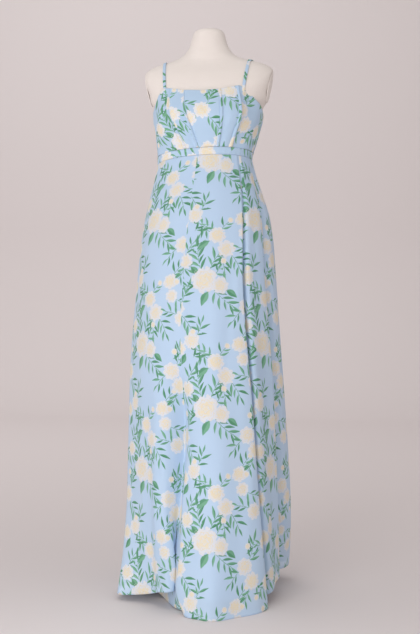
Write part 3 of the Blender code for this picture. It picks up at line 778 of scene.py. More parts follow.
@dataclass(frozen=True)
class PrintedChiffon:
    """Polyester chiffon, woven plain of fine crepe yarn and screen printed: matt, soft, a little sheer."""

    name: str = "printed polyester chiffon"
    ground: str = "#B8D1EA"
    ground_shade: str = "#B3CDE7"
    leaf_light: str = "#84BA9C"
    leaf_deep: str = "#40855A"
    petal_cream: str = "#EADFC4"
    petal_pale: str = "#E0E3EA"
    petal_line: str = "#DEC89A"
    # 1 where the cloth is lined or doubled, and less where it hangs single
    opacity: float = 1.0
    roughness: float = 0.82
    sheen: float = 0.15
    # Real crepe grain is a few tenths of a millimetre, and this is drawn coarser
    crepe_mm: float = 1.1

    def build(self) -> bpy.types.Material:
        """The material, which reads the print's screens from the cloth's own attributes.

        Returns:
            The material.
        """
        made, tree, shader = new_material(self.name)
        cut = add_node(tree, "UVMap", uv_map="cut").outputs[0]
        mottle = add_node(tree, "TexNoise", {"Vector": cut, "Scale": 9.0, "Detail": 2.0}).outputs["Fac"]
        colour = add_node(
            tree, "Mix", {0: mottle, 6: linear(self.ground), 7: linear(self.ground_shade)}, data_type="RGBA"
        ).outputs[2]
        cover = None
        leaf, rose = self._leaf_group(), self._rose_group()
        for layer in Layer:
            place = add_node(tree, "Attribute", attribute_name=layer.value).outputs["Vector"]
            is_rose = layer in (Layer.ROSE_1, Layer.ROSE_2)
            shape = add_node(tree, "Group", node_tree=rose if is_rose else leaf)
            tree.links.new(place, shape.inputs["Place"])
            if layer is Layer.STEM:
                shape.inputs["Stem"].default_value = 1.0
            mask = shape.outputs["Mask"]
            laid = {0: mask, 6: colour, 7: shape.outputs["Colour"]}
            colour = add_node(tree, "Mix", laid, data_type="RGBA").outputs[2]
            if cover is not None:
                mask = add_node(tree, "Math", (cover, mask), operation="MAXIMUM").outputs[0]
            cover = mask
        tree.links.new(colour, shader.inputs["Base Color"])
        if self.opacity < 1.0:
            alpha = add_node(
                tree, "MapRange", {"Value": cover, "To Min": self.opacity, "To Max": 0.5 + 0.5 * self.opacity}
            )
            tree.links.new(alpha.outputs[0], shader.inputs["Alpha"])
        shader.inputs["Roughness"].default_value = self.roughness
        shader.inputs["IOR"].default_value = 1.5
        shader.inputs["Specular IOR Level"].default_value = 0.25
        shader.inputs["Sheen Weight"].default_value = self.sheen
        shader.inputs["Sheen Roughness"].default_value = 0.5
        grain = {"Vector": cut, "Scale": 1000.0 / self.crepe_mm, "Detail": 2.0, "Roughness": 0.6}
        crepe = add_node(tree, "TexNoise", grain)
        bump = add_node(tree, "Bump", {"Strength": 0.25, "Distance": 0.0002, "Height": crepe.outputs["Fac"]})
        tree.links.new(bump.outputs[0], shader.inputs["Normal"])
        return made

    def _leaf_group(self) -> bpy.types.NodeTree:
        """A leaf, or with Stem set a length of stem: its shape and its colours.

        Returns:
            The node group.
        """
        tree = self._new_group("printed leaf", ("Place", "NodeSocketVector"), ("Stem", "NodeSocketFloat"))
        given = add_node(tree, "NodeGroupInput")
        along, aside, tone = add_node(tree, "SeparateXYZ", {0: given.outputs["Place"]}).outputs
        from_base = add_node(tree, "Math", (along, 0.5, 0.5), operation="MULTIPLY_ADD").outputs[0]
        outline = add_node(tree, "FloatCurve", {"Value": from_base})
        widths = ((0.0, 0.1), (0.1, 0.3), (0.3, 0.85), (0.45, 1.0), (0.72, 0.66), (1.0, 0.0))
        curve = outline.mapping.curves[0]
        while len(curve.points) < len(widths):
            curve.points.new(0.5, 0.5)
        for point, place in zip(curve.points, widths):
            point.location = place
        outline.mapping.update()
        square = add_node(tree, "Math", (along, along), operation="MULTIPLY").outputs[0]
        arch = add_node(tree, "Math", (square, -1.6, 1.6), operation="MULTIPLY_ADD").outputs[0]
        lean = add_node(tree, "Math", (tone, 0.5), operation="SUBTRACT").outputs[0]
        bend = add_node(tree, "Math", (arch, lean), operation="MULTIPLY").outputs[0]
        straight = add_node(tree, "Math", (1.0, given.outputs["Stem"]), operation="SUBTRACT").outputs[0]
        bend = add_node(tree, "Math", (bend, straight), operation="MULTIPLY").outputs[0]
        aside = add_node(tree, "Math", (aside, bend), operation="ADD").outputs[0]
        off = add_node(tree, "Math", (aside,), operation="ABSOLUTE").outputs[0]
        reach = add_node(tree, "Math", (along,), operation="ABSOLUTE").outputs[0]
        inside = add_node(tree, "Math", (reach, 1.0), operation="LESS_THAN").outputs[0]
        half = add_node(
            tree, "Mix", {0: given.outputs["Stem"], 2: outline.outputs[0], 3: inside}, data_type="FLOAT"
        ).outputs[0]
        margin = add_node(tree, "Math", (half, off), operation="SUBTRACT").outputs[0]
        edge = add_node(tree, "Math", (margin, 7.0), operation="MULTIPLY", use_clamp=True).outputs[0]
        mask = add_node(tree, "Math", (edge, inside), operation="MULTIPLY").outputs[0]
        upper = add_node(tree, "Math", (aside, 4.0, 0.5), operation="MULTIPLY_ADD", use_clamp=True).outputs[0]
        shade = add_node(tree, "Math", (upper, 0.35), operation="MULTIPLY").outputs[0]
        shade = add_node(tree, "Math", (tone, 0.55, shade), operation="MULTIPLY_ADD").outputs[0]
        streak = add_node(tree, "TexNoise", {"Vector": given.outputs["Place"], "Scale": 1.6, "Detail": 2.0})
        lit = (streak.outputs["Fac"], 0.5, shade)
        shade = add_node(tree, "Math", lit, operation="MULTIPLY_ADD").outputs[0]
        shade = add_node(tree, "Math", (shade, 0.2), operation="SUBTRACT", use_clamp=True).outputs[0]
        colour = add_node(
            tree, "Mix", {0: shade, 6: linear(self.leaf_light), 7: linear(self.leaf_deep)}, data_type="RGBA"
        ).outputs[2]
        add_node(tree, "NodeGroupOutput", {"Mask": mask, "Colour": colour})
        return tree

    def _rose_group(self) -> bpy.types.NodeTree:
        """A rose or a bud: scalloped outside, with rings of petals in cream and a paler tone.

        Returns:
            The node group.
        """
        tree = self._new_group("printed rose", ("Place", "NodeSocketVector"))
        given = add_node(tree, "NodeGroupInput")
        x, y, tone = add_node(tree, "SeparateXYZ", {0: given.outputs["Place"]}).outputs
        amount = add_node(tree, "Math", (tone,), operation="FRACT").outputs[0]
        seed = add_node(tree, "Math", (tone,), operation="FLOOR").outputs[0]
        phase = add_node(tree, "Math", (seed, 1.7), operation="MULTIPLY").outputs[0]
        flat = add_node(tree, "CombineXYZ", {0: x, 1: y, 2: 0.0}).outputs[0]
        radius = add_node(tree, "VectorMath", {0: flat}, operation="LENGTH").outputs["Value"]
        angle = add_node(tree, "Math", (y, x), operation="ARCTAN2").outputs[0]
        apart = add_node(tree, "CombineXYZ", {0: x, 1: y, 2: phase}).outputs[0]
        ruffle = add_node(tree, "TexNoise", {"Vector": apart, "Scale": 2.4, "Detail": 2.0}).outputs["Fac"]
        blot = add_node(tree, "TexNoise", {"Vector": apart, "Scale": 3.4, "Detail": 1.0, "Distortion": 0.6})
        wave = add_node(tree, "Math", (angle, 4.0, phase), operation="MULTIPLY_ADD").outputs[0]
        wave = add_node(tree, "Math", (ruffle, 5.0, wave), operation="MULTIPLY_ADD").outputs[0]
        wave = add_node(tree, "Math", (wave,), operation="SINE").outputs[0]
        wave = add_node(tree, "Math", (wave,), operation="ABSOLUTE").outputs[0]
        edge = add_node(tree, "Math", (wave, 0.2, 0.56), operation="MULTIPLY_ADD").outputs[0]
        edge = add_node(tree, "Math", (ruffle, 0.30, edge), operation="MULTIPLY_ADD").outputs[0]
        ragged = add_node(tree, "TexNoise", {"Vector": apart, "Scale": 8.0, "Detail": 1.0}).outputs["Fac"]
        edge = add_node(tree, "Math", (ragged, 0.22, edge), operation="MULTIPLY_ADD").outputs[0]
        margin = add_node(tree, "Math", (edge, radius), operation="SUBTRACT").outputs[0]
        mask = add_node(tree, "Math", (margin, 18.0), operation="MULTIPLY", use_clamp=True).outputs[0]
        outward = add_node(tree, "Math", (radius, edge), operation="DIVIDE").outputs[0]
        swirl = add_node(tree, "Math", (radius, 5.5, phase), operation="MULTIPLY_ADD").outputs[0]
        swirl = add_node(tree, "Math", (angle, 2.5, swirl), operation="MULTIPLY_ADD").outputs[0]
        swirl = add_node(tree, "Math", (swirl,), operation="SINE").outputs[0]
        swirl = add_node(tree, "Math", (swirl,), operation="ABSOLUTE").outputs[0]
        ring = add_node(tree, "Math", (outward, 3.3, phase), operation="MULTIPLY_ADD").outputs[0]
        ring = add_node(tree, "Math", (swirl, 0.45, ring), operation="MULTIPLY_ADD").outputs[0]
        ring = add_node(tree, "Math", (ruffle, 1.6, ring), operation="MULTIPLY_ADD").outputs[0]
        petal = add_node(tree, "Math", (ring,), operation="FRACT").outputs[0]
        rim = add_node(
            tree, "MapRange", {"Value": outward, "From Min": 0.5, "From Max": 0.92, "To Max": 1.3}
        ).outputs[0]
        cream = add_node(tree, "Math", (blot.outputs["Fac"], 1.4, -0.45), operation="MULTIPLY_ADD").outputs[0]
        cream = add_node(tree, "Math", (petal, -1.1, cream), operation="MULTIPLY_ADD").outputs[0]
        cream = add_node(tree, "Math", (amount, 1.1, cream), operation="MULTIPLY_ADD").outputs[0]
        cream = add_node(tree, "Math", (cream, rim), operation="SUBTRACT").outputs[0]
        cream = add_node(tree, "Math", (cream, 1.6, 0.5), operation="MULTIPLY_ADD", use_clamp=True).outputs[0]
        colour = add_node(
            tree, "Mix", {0: cream, 6: linear(self.petal_pale), 7: linear(self.petal_cream)}, data_type="RGBA"
        ).outputs[2]
        fold = add_node(tree, "Math", (petal, -7.0, 0.8), operation="MULTIPLY_ADD", use_clamp=True).outputs[0]
        colour = add_node(
            tree, "Mix", {0: fold, 6: colour, 7: linear(self.petal_line)}, data_type="RGBA"
        ).outputs[2]
        add_node(tree, "NodeGroupOutput", {"Mask": mask, "Colour": colour})
        return tree

    @staticmethod
    def _new_group(name: str, *inputs: tuple[str, str]) -> bpy.types.NodeTree:
        """A node group with its sockets, which gives a mask and a colour.

        Args:
            name: the group's name.
            inputs: the name and the kind of each input.

        Returns:
            The node group.
        """
        tree = bpy.data.node_groups.new(name, "ShaderNodeTree")
        for label, kind in inputs:
            tree.interface.new_socket(label, in_out="INPUT", socket_type=kind)
        tree.interface.new_socket("Mask", in_out="OUTPUT", socket_type="NodeSocketFloat")
        tree.interface.new_socket("Colour", in_out="OUTPUT", socket_type="NodeSocketColor")
        return tree


@dataclass(frozen=True)
class PlainWeave:
    """A plain woven cloth: a grid of threads over and under, which gives the eye an even, matt surface.

    thread_mm is under a millimetre, too fine for the render. The threads are drawn coarser times as far
    apart, which is 5 to 6 mm, in a relief so low that it hardly shows.
    """

    name: str
    colour: str
    shade: str
    thread_mm: float
    coarser: float = 2 * math.pi
    roughness: float = 0.85
    relief: float = 0.0002

    def build(self) -> bpy.types.Material:
        """The material, with its threads drawn along the flat cut.

        Returns:
            The material.
        """
        made, tree, shader = new_material(self.name)
        cut = add_node(tree, "UVMap", uv_map="cut").outputs[0]
        mottle = add_node(tree, "TexNoise", {"Vector": cut, "Scale": 14.0, "Detail": 3.0}).outputs["Fac"]
        colour = add_node(
            tree, "Mix", {0: mottle, 6: linear(self.colour), 7: linear(self.shade)}, data_type="RGBA"
        ).outputs[2]
        tree.links.new(colour, shader.inputs["Base Color"])
        # The wave texture's bands lie 2 pi / 20 of its unit apart
        scale = 2 * math.pi / 20.0 / (self.thread_mm * self.coarser / 1000.0)
        weave = {"Vector": cut, "Scale": scale, "Distortion": 1.5, "Detail": 1.0}
        warp, weft = (
            add_node(tree, "TexWave", weave, bands_direction=way).outputs["Fac"] for way in ("X", "Y")
        )
        height = add_node(tree, "Math", (warp, weft), operation="ADD").outputs[0]
        bump = add_node(tree, "Bump", {"Strength": 0.3, "Distance": self.relief, "Height": height})
        tree.links.new(bump.outputs[0], shader.inputs["Normal"])
        shader.inputs["Roughness"].default_value = self.roughness
        shader.inputs["Specular IOR Level"].default_value = 0.25
        shader.inputs["Sheen Weight"].default_value = 0.12
        return made


@dataclass(frozen=True)
class PaintedSteel:
    """Steel tube and plate under a satin powder coat, which leaves a faint orange-peel surface."""

    name: str = "powder-coated steel"
    colour: str = "#C4C2BE"
    shade: str = "#B8B6B1"
    peel_mm: float = 1.5

    def build(self) -> bpy.types.Material:
        """The material.

        Returns:
            The material.
        """
        made, tree, shader = new_material(self.name)
        where = add_node(tree, "TexCoord").outputs["Object"]
        peel = add_node(tree, "TexNoise", {"Vector": where, "Scale": 1000.0 / self.peel_mm, "Detail": 1.0})
        tone = add_node(tree, "TexNoise", {"Vector": where, "Scale": 6.0, "Detail": 3.0}).outputs["Fac"]
        colour = add_node(
            tree, "Mix", {0: tone, 6: linear(self.colour), 7: linear(self.shade)}, data_type="RGBA"
        ).outputs[2]
        tree.links.new(colour, shader.inputs["Base Color"])
        bump = add_node(tree, "Bump", {"Strength": 0.1, "Distance": 0.0002, "Height": peel.outputs["Fac"]})
        tree.links.new(bump.outputs[0], shader.inputs["Normal"])
        shader.inputs["Roughness"].default_value = 0.4
        return made


@dataclass
class DressForm:
    """The limbless form: a torso with a neck, cut flat at the arms, and a cover plate on each cut."""

    sections: tuple[tuple[float, ...], ...] = (
        (0.800, 0.140, 0.088, 0.102, 2.2),
        (0.820, 0.150, 0.094, 0.109, 2.2),
        (0.870, 0.157, 0.099, 0.113, 2.2),
        (0.930, 0.157, 0.100, 0.111, 2.2),
        (1.000, 0.146, 0.097, 0.101, 2.2),
        (1.080, 0.122, 0.089, 0.084, 2.2),
        (1.140, 0.110, 0.085, 0.075, 2.2),
        (1.200, 0.112, 0.091, 0.077, 2.2),
        (1.245, 0.117, 0.101, 0.083, 2.25),
        (1.290, 0.134, 0.120, 0.096, 2.3),
        (1.330, 0.145, 0.127, 0.101, 2.4),
        (1.365, 0.151, 0.120, 0.103, 2.45),
        (1.383, 0.156, 0.113, 0.102, 2.45),
        (1.400, 0.162, 0.106, 0.101, 2.5),
        (1.430, 0.178, 0.094, 0.096, 2.5),
        (1.455, 0.186, 0.081, 0.088, 2.4),
        (1.472, 0.184, 0.070, 0.080, 2.3),
        (1.484, 0.172, 0.062, 0.073, 2.2),
        (1.493, 0.152, 0.057, 0.069, 2.1),
        (1.501, 0.122, 0.054, 0.066, 2.0),
        (1.511, 0.092, 0.052, 0.063, 2.0),
        (1.522, 0.073, 0.050, 0.059, 2.0),
        (1.535, 0.062, 0.047, 0.056, 2.0),
        (1.552, 0.053, 0.045, 0.052, 2.0),
        (1.570, 0.048, 0.042, 0.049, 2.0),
        (1.583, 0.044, 0.039, 0.045, 2.0),
        (1.591, 0.037, 0.033, 0.038, 2.0),
        (1.595, 0.024, 0.021, 0.025, 2.0),
    )
    bust_z: float = 1.322
    bust_bearing: float = 37.0
    bust_rise_m: float = 0.010
    bust_spread_z: float = 0.042
    bust_spread_bearing: float = 21.0
    arm_rise_z: float = 1.392
    arm_rise_m: float = 0.0085
    arm_spread_z: float = 0.018
    arm_spread_bearing: float = 15.0
    arm_cut_x: float = 0.1585
    arm_cut_z: float = 1.360
    arm_cut_slope: float = 0.21
    plate_thickness: float = 0.0025
    plate_half_height: float = 0.043
    plate_half_depth: float = 0.031
    plate_z: float = 1.424
    plate_gap: float = 0.0004
    girth: float = 0.9
    columns: int = 180
    steps_per_ring: int = 7

    def bust_rise(self, bearing: Any, z: Any) -> Any:
        """How far the two cups stand out of the plain section.

        Args:
            bearing: the direction, in degrees.
            z: the height, in metres.

        Returns:
            The rise, in metres.
        """
        level = np.exp(-(((z - self.bust_z) / self.bust_spread_z) ** 2))
        aside = [(wrapped(bearing) - side * self.bust_bearing) / self.bust_spread_bearing for side in (-1, 1)]
        cups = sum(np.exp(-(off**2)) for off in aside)
        return self.bust_rise_m * level * cups

    def arm_rise(self, bearing: Any, z: Any) -> Any:
        """How far the body stands out below the shoulders, so that it reaches the arm plates.

        Args:
            bearing: the direction, in degrees.
            z: the height, in metres.

        Returns:
            The rise, in metres.
        """
        level = np.exp(-(((z - self.arm_rise_z) / self.arm_spread_z) ** 2))
        aside = np.abs(wrapped(bearing))
        return self.arm_rise_m * level * np.exp(-(((aside - 90.0) / self.arm_spread_bearing) ** 2))

    def torso(self, finish: bpy.types.Material) -> bpy.types.Object:
        """The torso as one closed skin, with its shoulders cut flat for the plates.

        Args:
            finish: the cover's material.

        Returns:
            The torso.
        """
        table = np.asarray(self.sections)
        share = np.linspace(0, len(table) - 1, self.steps_per_ring * (len(table) - 1) + 1)
        knots = np.arange(len(table))
        z, half, front, back, power = (smooth_between(share, knots, table[:, k]) for k in range(5))
        z = np.maximum.accumulate(z)
        bearing = np.linspace(-180.0, 180.0, self.columns, endpoint=False)
        rings = []
        for k in range(len(z)):
            radius = ring_radius(bearing, half[k], half[k], front[k], back[k], power[k])
            radius = radius + self.bust_rise(bearing, z[k]) + self.arm_rise(bearing, z[k])
            rings.append(at_bearing(bearing, radius, z[k]))
        bm = bmesh.new()
        cut = bm.loops.layers.uv.new("cut")
        loops = [[bm.verts.new(p) for p in ring] for ring in rings]
        for k in range(len(loops) - 1):
            for i in range(self.columns):
                j = (i + 1) % self.columns
                face = bm.faces.new((loops[k][i], loops[k][j], loops[k + 1][j], loops[k + 1][i]))
                for loop, (column, row) in zip(face.loops, ((i, k), (i + 1, k), (i + 1, k + 1), (i, k + 1))):
                    loop[cut].uv = (column / self.columns * self.girth, z[row])
        for ring in (loops[0], loops[-1]):
            face = bm.faces.new(ring)
            for loop in face.loops:
                loop[cut].uv = loop.vert.co.xy
        for side in (-1, 1):
            place = Vector((side * self.arm_cut_x, 0.0, self.arm_cut_z))
            out = Vector((side, 0.0, -self.arm_cut_slope)).normalized()
            parts = bm.verts[:] + bm.edges[:] + bm.faces[:]
            bmesh.ops.bisect_plane(bm, geom=parts, plane_co=place, plane_no=out, clear_outer=True)
            rim = [e for e in bm.edges if e.is_boundary]
            filled = bmesh.ops.edgenet_fill(bm, edges=rim)
            for face in filled["faces"]:
                face.smooth = False
                for loop in face.loops:
                    loop[cut].uv = loop.vert.co.yz
        bmesh.ops.recalc_face_normals(bm, faces=bm.faces)
        return finished("form_torso_cover", bm, finish, 40)

    def plates(self, finish: bpy.types.Material) -> list[bpy.types.Object]:
        """The two arm plates, round-edged ellipses that lean with the cut shoulders.

        Args:
            finish: the cover's material.

        Returns:
            The left plate and the right one.
        """
        lean = math.atan(self.arm_cut_slope)
        centre = self.arm_cut_x + (self.plate_z - self.arm_cut_z) * self.arm_cut_slope
        turn = np.linspace(0.0, 2 * math.pi, 72, endpoint=False)
        profile = ((0.0, 1.0), (0.45, 1.0), (0.75, 0.985), (0.93, 0.96), (1.0, 0.93), (1.0, 0.5))
        made = []
        for name, side in (("form_arm_cover_left", -1), ("form_arm_cover_right", 1)):
            bm = bmesh.new()
            cut = bm.loops.layers.uv.new("cut")
            rings = []
            for out, shrink in profile:
                depth = self.plate_half_depth * shrink * np.cos(turn)
                height = self.plate_half_height * shrink * np.sin(turn)
                off = self.plate_gap + self.plate_thickness * out
                x = centre + off * math.cos(lean) + height * math.sin(lean)
                z = self.plate_z - off * math.sin(lean) + height * math.cos(lean)
                rings.append([bm.verts.new(p) for p in np.stack([side * x, depth, z], axis=-1)])
            for low, high in zip(rings, rings[1:]):
                for i in range(len(turn)):
                    j = (i + 1) % len(turn)
                    bm.faces.new((low[i], low[j], high[j], high[i]))
            bm.faces.new(rings[0])
            bm.faces.new(rings[-1])
            for face in bm.faces:
                for loop in face.loops:
                    loop[cut].uv = loop.vert.co.yz
            bmesh.ops.recalc_face_normals(bm, faces=bm.faces)
            made.append(finished(name, bm, finish, 50))
        return made

    def build(self, cover: bpy.types.Material, steel: bpy.types.Material) -> None:
        """Covers the form, and finishes the pole and the base.

        Args:
            cover: the cover's material.
            steel: the material of the pole and the base.
        """
        torso = self.torso(cover)
        settle(torso, "form_cover", "form_torso")
        for plate, node in zip(self.plates(cover), ("form_arm_plate_left", "form_arm_plate_right")):
            settle(plate, "form_cover", node)
        for node in ("stand_pole", "stand_base"):
            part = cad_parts[node]
            part.data.materials.clear()
            part.data.materials.append(steel)
            log.info("%s keeps its solid", node)


def finished(name: str, bm: bmesh.types.BMesh, finish: bpy.types.Material, sharp: float) -> bpy.types.Object:
    """An object from a bmesh, smooth but for edges sharper than an angle in degrees.

    Args:
        name: the object's name.
        bm: its shape, which is freed.
        finish: its material.
        sharp: the angle beyond which an edge stays sharp, in degrees.

    Returns:
        The object.
    """
    mesh = bpy.data.meshes.new(name)
    bm.to_mesh(mesh)
    bm.free()
    mesh.shade_smooth()
    mesh.set_sharp_from_angle(angle=math.radians(sharp))
    mesh.materials.append(finish)
    made = bpy.data.objects.new(name, mesh)
    bpy.context.scene.collection.objects.link(made)
    return made


def settle(piece: bpy.types.Object, slot: str, *nodes: str) -> None:
    """Fixes a piece to the body, and lets it stand for CAD nodes.

    Args:
        piece: the piece.
        slot: its finish's slot, not used.
        nodes: the CAD nodes that it stands for.
    """
    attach(piece, "root")
    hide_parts(*nodes)
    triangles = sum(len(p.vertices) - 2 for p in piece.data.polygons)
    log.info("%s: %d triangles", piece.name, triangles)


def sewn(
    panel: ClothPanel,
    name: str,
    slot: str,
    node: str,
    finish: bpy.types.Material,
    floral: FloralPrint | None = None,
    shift: tuple[float, float] = (0.0, 0.0),
) -> bpy.types.Object:
    """Makes the finished piece of a panel of cloth.

    Args:
        panel: the panel.
        name: the piece's name.
        slot: the slot of its finish.
        node: the CAD node that it stands for.
        finish: its material.
        floral: its print, if it has one.
        shift: where the print's repeat starts on the flat cut, in metres.

    Returns:
        The piece.
    """
    piece = panel.mesh(name)
    if floral:
        floral.dress(piece, shift)
    piece.data.materials.append(finish)
    settle(piece, slot, node)
    log.info("%s: %.4f square metres", name, sum(p.area for p in piece.data.polygons))
    return piece


BODICE_SECTIONS = (
    (1.200, 0.1470, 0.1240, 0.113, 0.091, 2.3),
    (1.222, 0.1465, 0.1235, 0.114, 0.092, 2.3),
    (1.245, 0.1460, 0.1275, 0.120, 0.094, 2.3),
    (1.275, 0.1475, 0.1365, 0.131, 0.099, 2.35),
    (1.300, 0.1510, 0.1440, 0.138, 0.103, 2.4),
    (1.330, 0.1550, 0.1520, 0.141, 0.107, 2.45),
    (1.352, 0.1565, 0.1560, 0.137, 0.109, 2.5),
    (1.375, 0.1590, 0.1590, 0.128, 0.109, 2.5),
    (1.400, 0.1670, 0.1670, 0.114, 0.106, 2.5),
    (1.430, 0.1800, 0.1800, 0.100, 0.101, 2.5),
)


def tuck(name: str, *bearings: tuple[float, float]) -> list[BodiceLine]:
    """The lines of a tuck, from left to right.

    Args:
        name: the tuck's name.
        bearings: where its groove, crest, lip, fold and foot are, each at the band and at the top edge.

    Returns:
        The five lines.
    """
    parts = ("groove", "crest", "lip", "fold", "foot")
    band_rises = (-0.0022, 0.0042, 0.0034, -0.0030, -0.0006)
    top_rises = (-0.0012, 0.0018, 0.0014, -0.0018, -0.0004)
    rows = zip(parts, bearings, band_rises, top_rises)
    lines = [BodiceLine(f"{name} {part}", *place, low, high) for part, place, low, high in rows]
    return sorted(lines, key=lambda line: line.band)


@dataclass
class Bodice:
    """The tucked front and the gathered back, and the band below them."""

    form: DressForm
    lines: tuple[BodiceLine, ...] = (
        BodiceLine("left seam", -90.0, -90.0, 0.0, 0.0),
        BodiceLine("left side", -66.0, -73.0, 0.0010, 0.0005),
        BodiceLine("left tuck base", -35.0, -56.0, 0.0010, 0.0005),
        *tuck("left tuck", (-25.4, -46.4), (-23.6, -45.5), (-21.6, -44.6), (-20.9, -44.0), (-19.4, -42.6)),
        BodiceLine("left cup", -13.4, -34.0, 0.0014, 0.0008),
        *tuck("left inner", (-8.8, -26.0), (-7.2, -25.2), (-5.4, -24.4), (-4.7, -23.8), (-3.2, -22.4)),
        BodiceLine("centre", 8.0, 0.0, 0.0012, 0.0006),
        *tuck("right inner", (22.8, 24.4), (21.4, 23.6), (19.6, 22.8), (18.9, 22.2), (17.4, 20.8)),
        BodiceLine("right cup", 28.6, 34.0, 0.0014, 0.0008),
        *tuck("right tuck", (39.8, 46.0), (38.0, 45.0), (35.8, 44.0), (35.1, 43.4), (33.6, 42.0)),
        BodiceLine("right side", 62.0, 70.0, 0.0010, 0.0005),
        BodiceLine("right seam", 90.0, 90.0, 0.0, 0.0),
        BodiceLine("right gather 1", 106.0, 106.0, 0.0020, 0.0020),
        BodiceLine("right gather 2", 122.0, 121.0, 0.0000, 0.0000),
        BodiceLine("right gather 3", 138.0, 137.0, 0.0025, 0.0025),
        BodiceLine("right gather 4", 153.0, 152.0, 0.0000, 0.0000),
        BodiceLine("back crest 1", 167.0, 167.0, 0.0025, 0.0025),
        BodiceLine("back centre", 180.0, 180.0, 0.0000, 0.0000),
        BodiceLine("back crest 2", 193.0, 193.0, 0.0025, 0.0025),
        BodiceLine("left gather 4", 207.0, 208.0, 0.0000, 0.0000),
        BodiceLine("left gather 3", 222.0, 223.0, 0.0025, 0.0025),
        BodiceLine("left gather 2", 238.0, 239.0, 0.0000, 0.0000),
        BodiceLine("left gather 1", 254.0, 254.0, 0.0020, 0.0020),
    )
    front_breadths: tuple[tuple[str, str, float], ...] = (
        ("left side", "left tuck groove", 0.0),
        ("left tuck crest", "left tuck fold", 0.022),
        ("left cup", "left inner groove", 0.018),
        ("left inner crest", "left inner fold", 0.024),
        ("centre", "right inner fold", 0.016),
        ("right inner crest", "right inner groove", 0.018),
        ("right cup", "right tuck fold", 0.020),
        ("right tuck crest", "right tuck groove", 0.022),
        ("right side", "right seam", 0.018),
    )
    top_edge: tuple[tuple[float, float], ...] = (
        (-180.0, 1.3450),
        (-110.0, 1.3480),
        (-90.0, 1.3500),
        (-78.0, 1.3510),
        (-68.0, 1.3580),
        (-62.0, 1.3730),
        (-57.5, 1.3890),
        (-54.0, 1.4045),
        (-51.0, 1.4130),
        (-45.0, 1.4110),
        (-25.0, 1.4020),
        (0.0, 1.3985),
        (24.0, 1.4020),
        (42.0, 1.4110),
        (47.0, 1.4130),
        (51.0, 1.4090),
        (57.5, 1.3950),
        (67.0, 1.3740),
        (78.0, 1.3570),
        (90.0, 1.3500),
        (110.0, 1.3480),
        (180.0, 1.3450),
    )
    creases: tuple[Crease, ...] = (
        Crease(-0.034, 0.012, 0.026, 0.128, 0.0055, 0.0016),
        Crease(-0.022, 0.030, 0.030, 0.120, 0.0050, -0.0008),
        Crease(0.052, 0.060, 0.040, 0.150, 0.0050, 0.0009),
        Crease(-0.080, 0.030, -0.062, 0.120, 0.0060, 0.0010),
        Crease(-0.118, 0.040, -0.100, 0.140, 0.0070, 0.0010),
        Crease(0.104, 0.030, 0.088, 0.130, 0.0060, 0.0011),
        Crease(0.128, 0.050, 0.112, 0.140, 0.0060, -0.0009),
    )
    rows: int = 64
    step: float = 0.0032
    inset: float = 0.0007
    front_flat: tuple[float, float] = (0.40, 0.185)
    back_flat: tuple[float, float] = (0.36, 0.125)
    band_flat: tuple[float, float] = (0.37, 0.032)

    def radius(self, bearing: Any, z: Any) -> Any:
        """Distance from the axis to the outside of the bodice, before its tucks."""
        return ring_radius(bearing, *section_at(BODICE_SECTIONS, z)) + self.form.bust_rise(bearing, z)

    def ring(self) -> ClothRing:
        """The bodice's cloth all round, from the top edge to the band.

        Returns:
            The ring of cloth.
        """
        drop = np.linspace(0.0, 1.0, self.rows)
        edge = np.asarray(self.top_edge)
        lines = []
        for line in self.lines:
            bearing = line.top + (line.band - line.top) * drop
            high = float(np.interp(wrapped(line.top), edge[:, 0], edge[:, 1]))
            foot = at_bearing(line.band, self.radius(line.band, WAIST_SEAM_Z + BAND_HEIGHT), 0.0)
            low = waist_seam_z(foot[0]) + BAND_HEIGHT + SEAM_GAP
            z = high + (low - high) * drop
            level = high + (WAIST_SEAM_Z + BAND_HEIGHT - high) * drop
            ease = np.sin(np.pi * (0.15 + 0.75 * drop)) ** 0.6
            rise = (line.top_rise + (line.band_rise - line.top_rise) * drop) * ease
            lines.append(at_bearing(bearing, self.radius(bearing, level) - self.inset + rise, z))
        ring = ClothRing.through(np.array(lines), [line.name for line in self.lines], self.step)
        shape = ring.grid
        side = np.degrees(np.arctan2(shape[:, 0, 0], -shape[:, 0, 1]))
        wanted = np.interp(wrapped(side), edge[:, 0], edge[:, 1])
        shape[:, :, 2] += (wanted - shape[:, 0, 2])[:, None] * (1 - drop)[None, :]
        low = waist_seam_z(shape[:, -1, 0]) + BAND_HEIGHT + SEAM_GAP
        shape[:, :, 2] += (low - shape[:, -1, 2])[:, None] * drop[None, :]
        return ring

    @staticmethod
    def puckers(width: float, pitch: float, height: float, foot: float) -> list[Crease]:
        """Small uneven gathers along the top edge and above the band of a panel of a given width.

        Args:
            width: the panel's width, in metres.
            pitch: how far apart the gathers are, in metres.
            height: how far they stand out, in metres.
            foot: how far the band is below the top edge, in metres.

        Returns:
            The creases.
        """
        made = []
        for k in range(int(width / pitch)):
            across = -width / 2 + pitch * (k + 0.5 + 0.3 * math.sin(2.3 * k))
            long = 0.026 + 0.016 * math.sin(1.7 * k + 0.6)
            strong = height * (0.7 + 0.3 * math.sin(3.1 * k))
            made.append(Crease(across, -long * 0.8, across + 0.003 * math.sin(k), long, 0.0022, strong))
            below = across + 0.004
            made.append(Crease(below, foot - long, below, foot + long * 0.8, 0.0024, strong * 0.9))
        return made

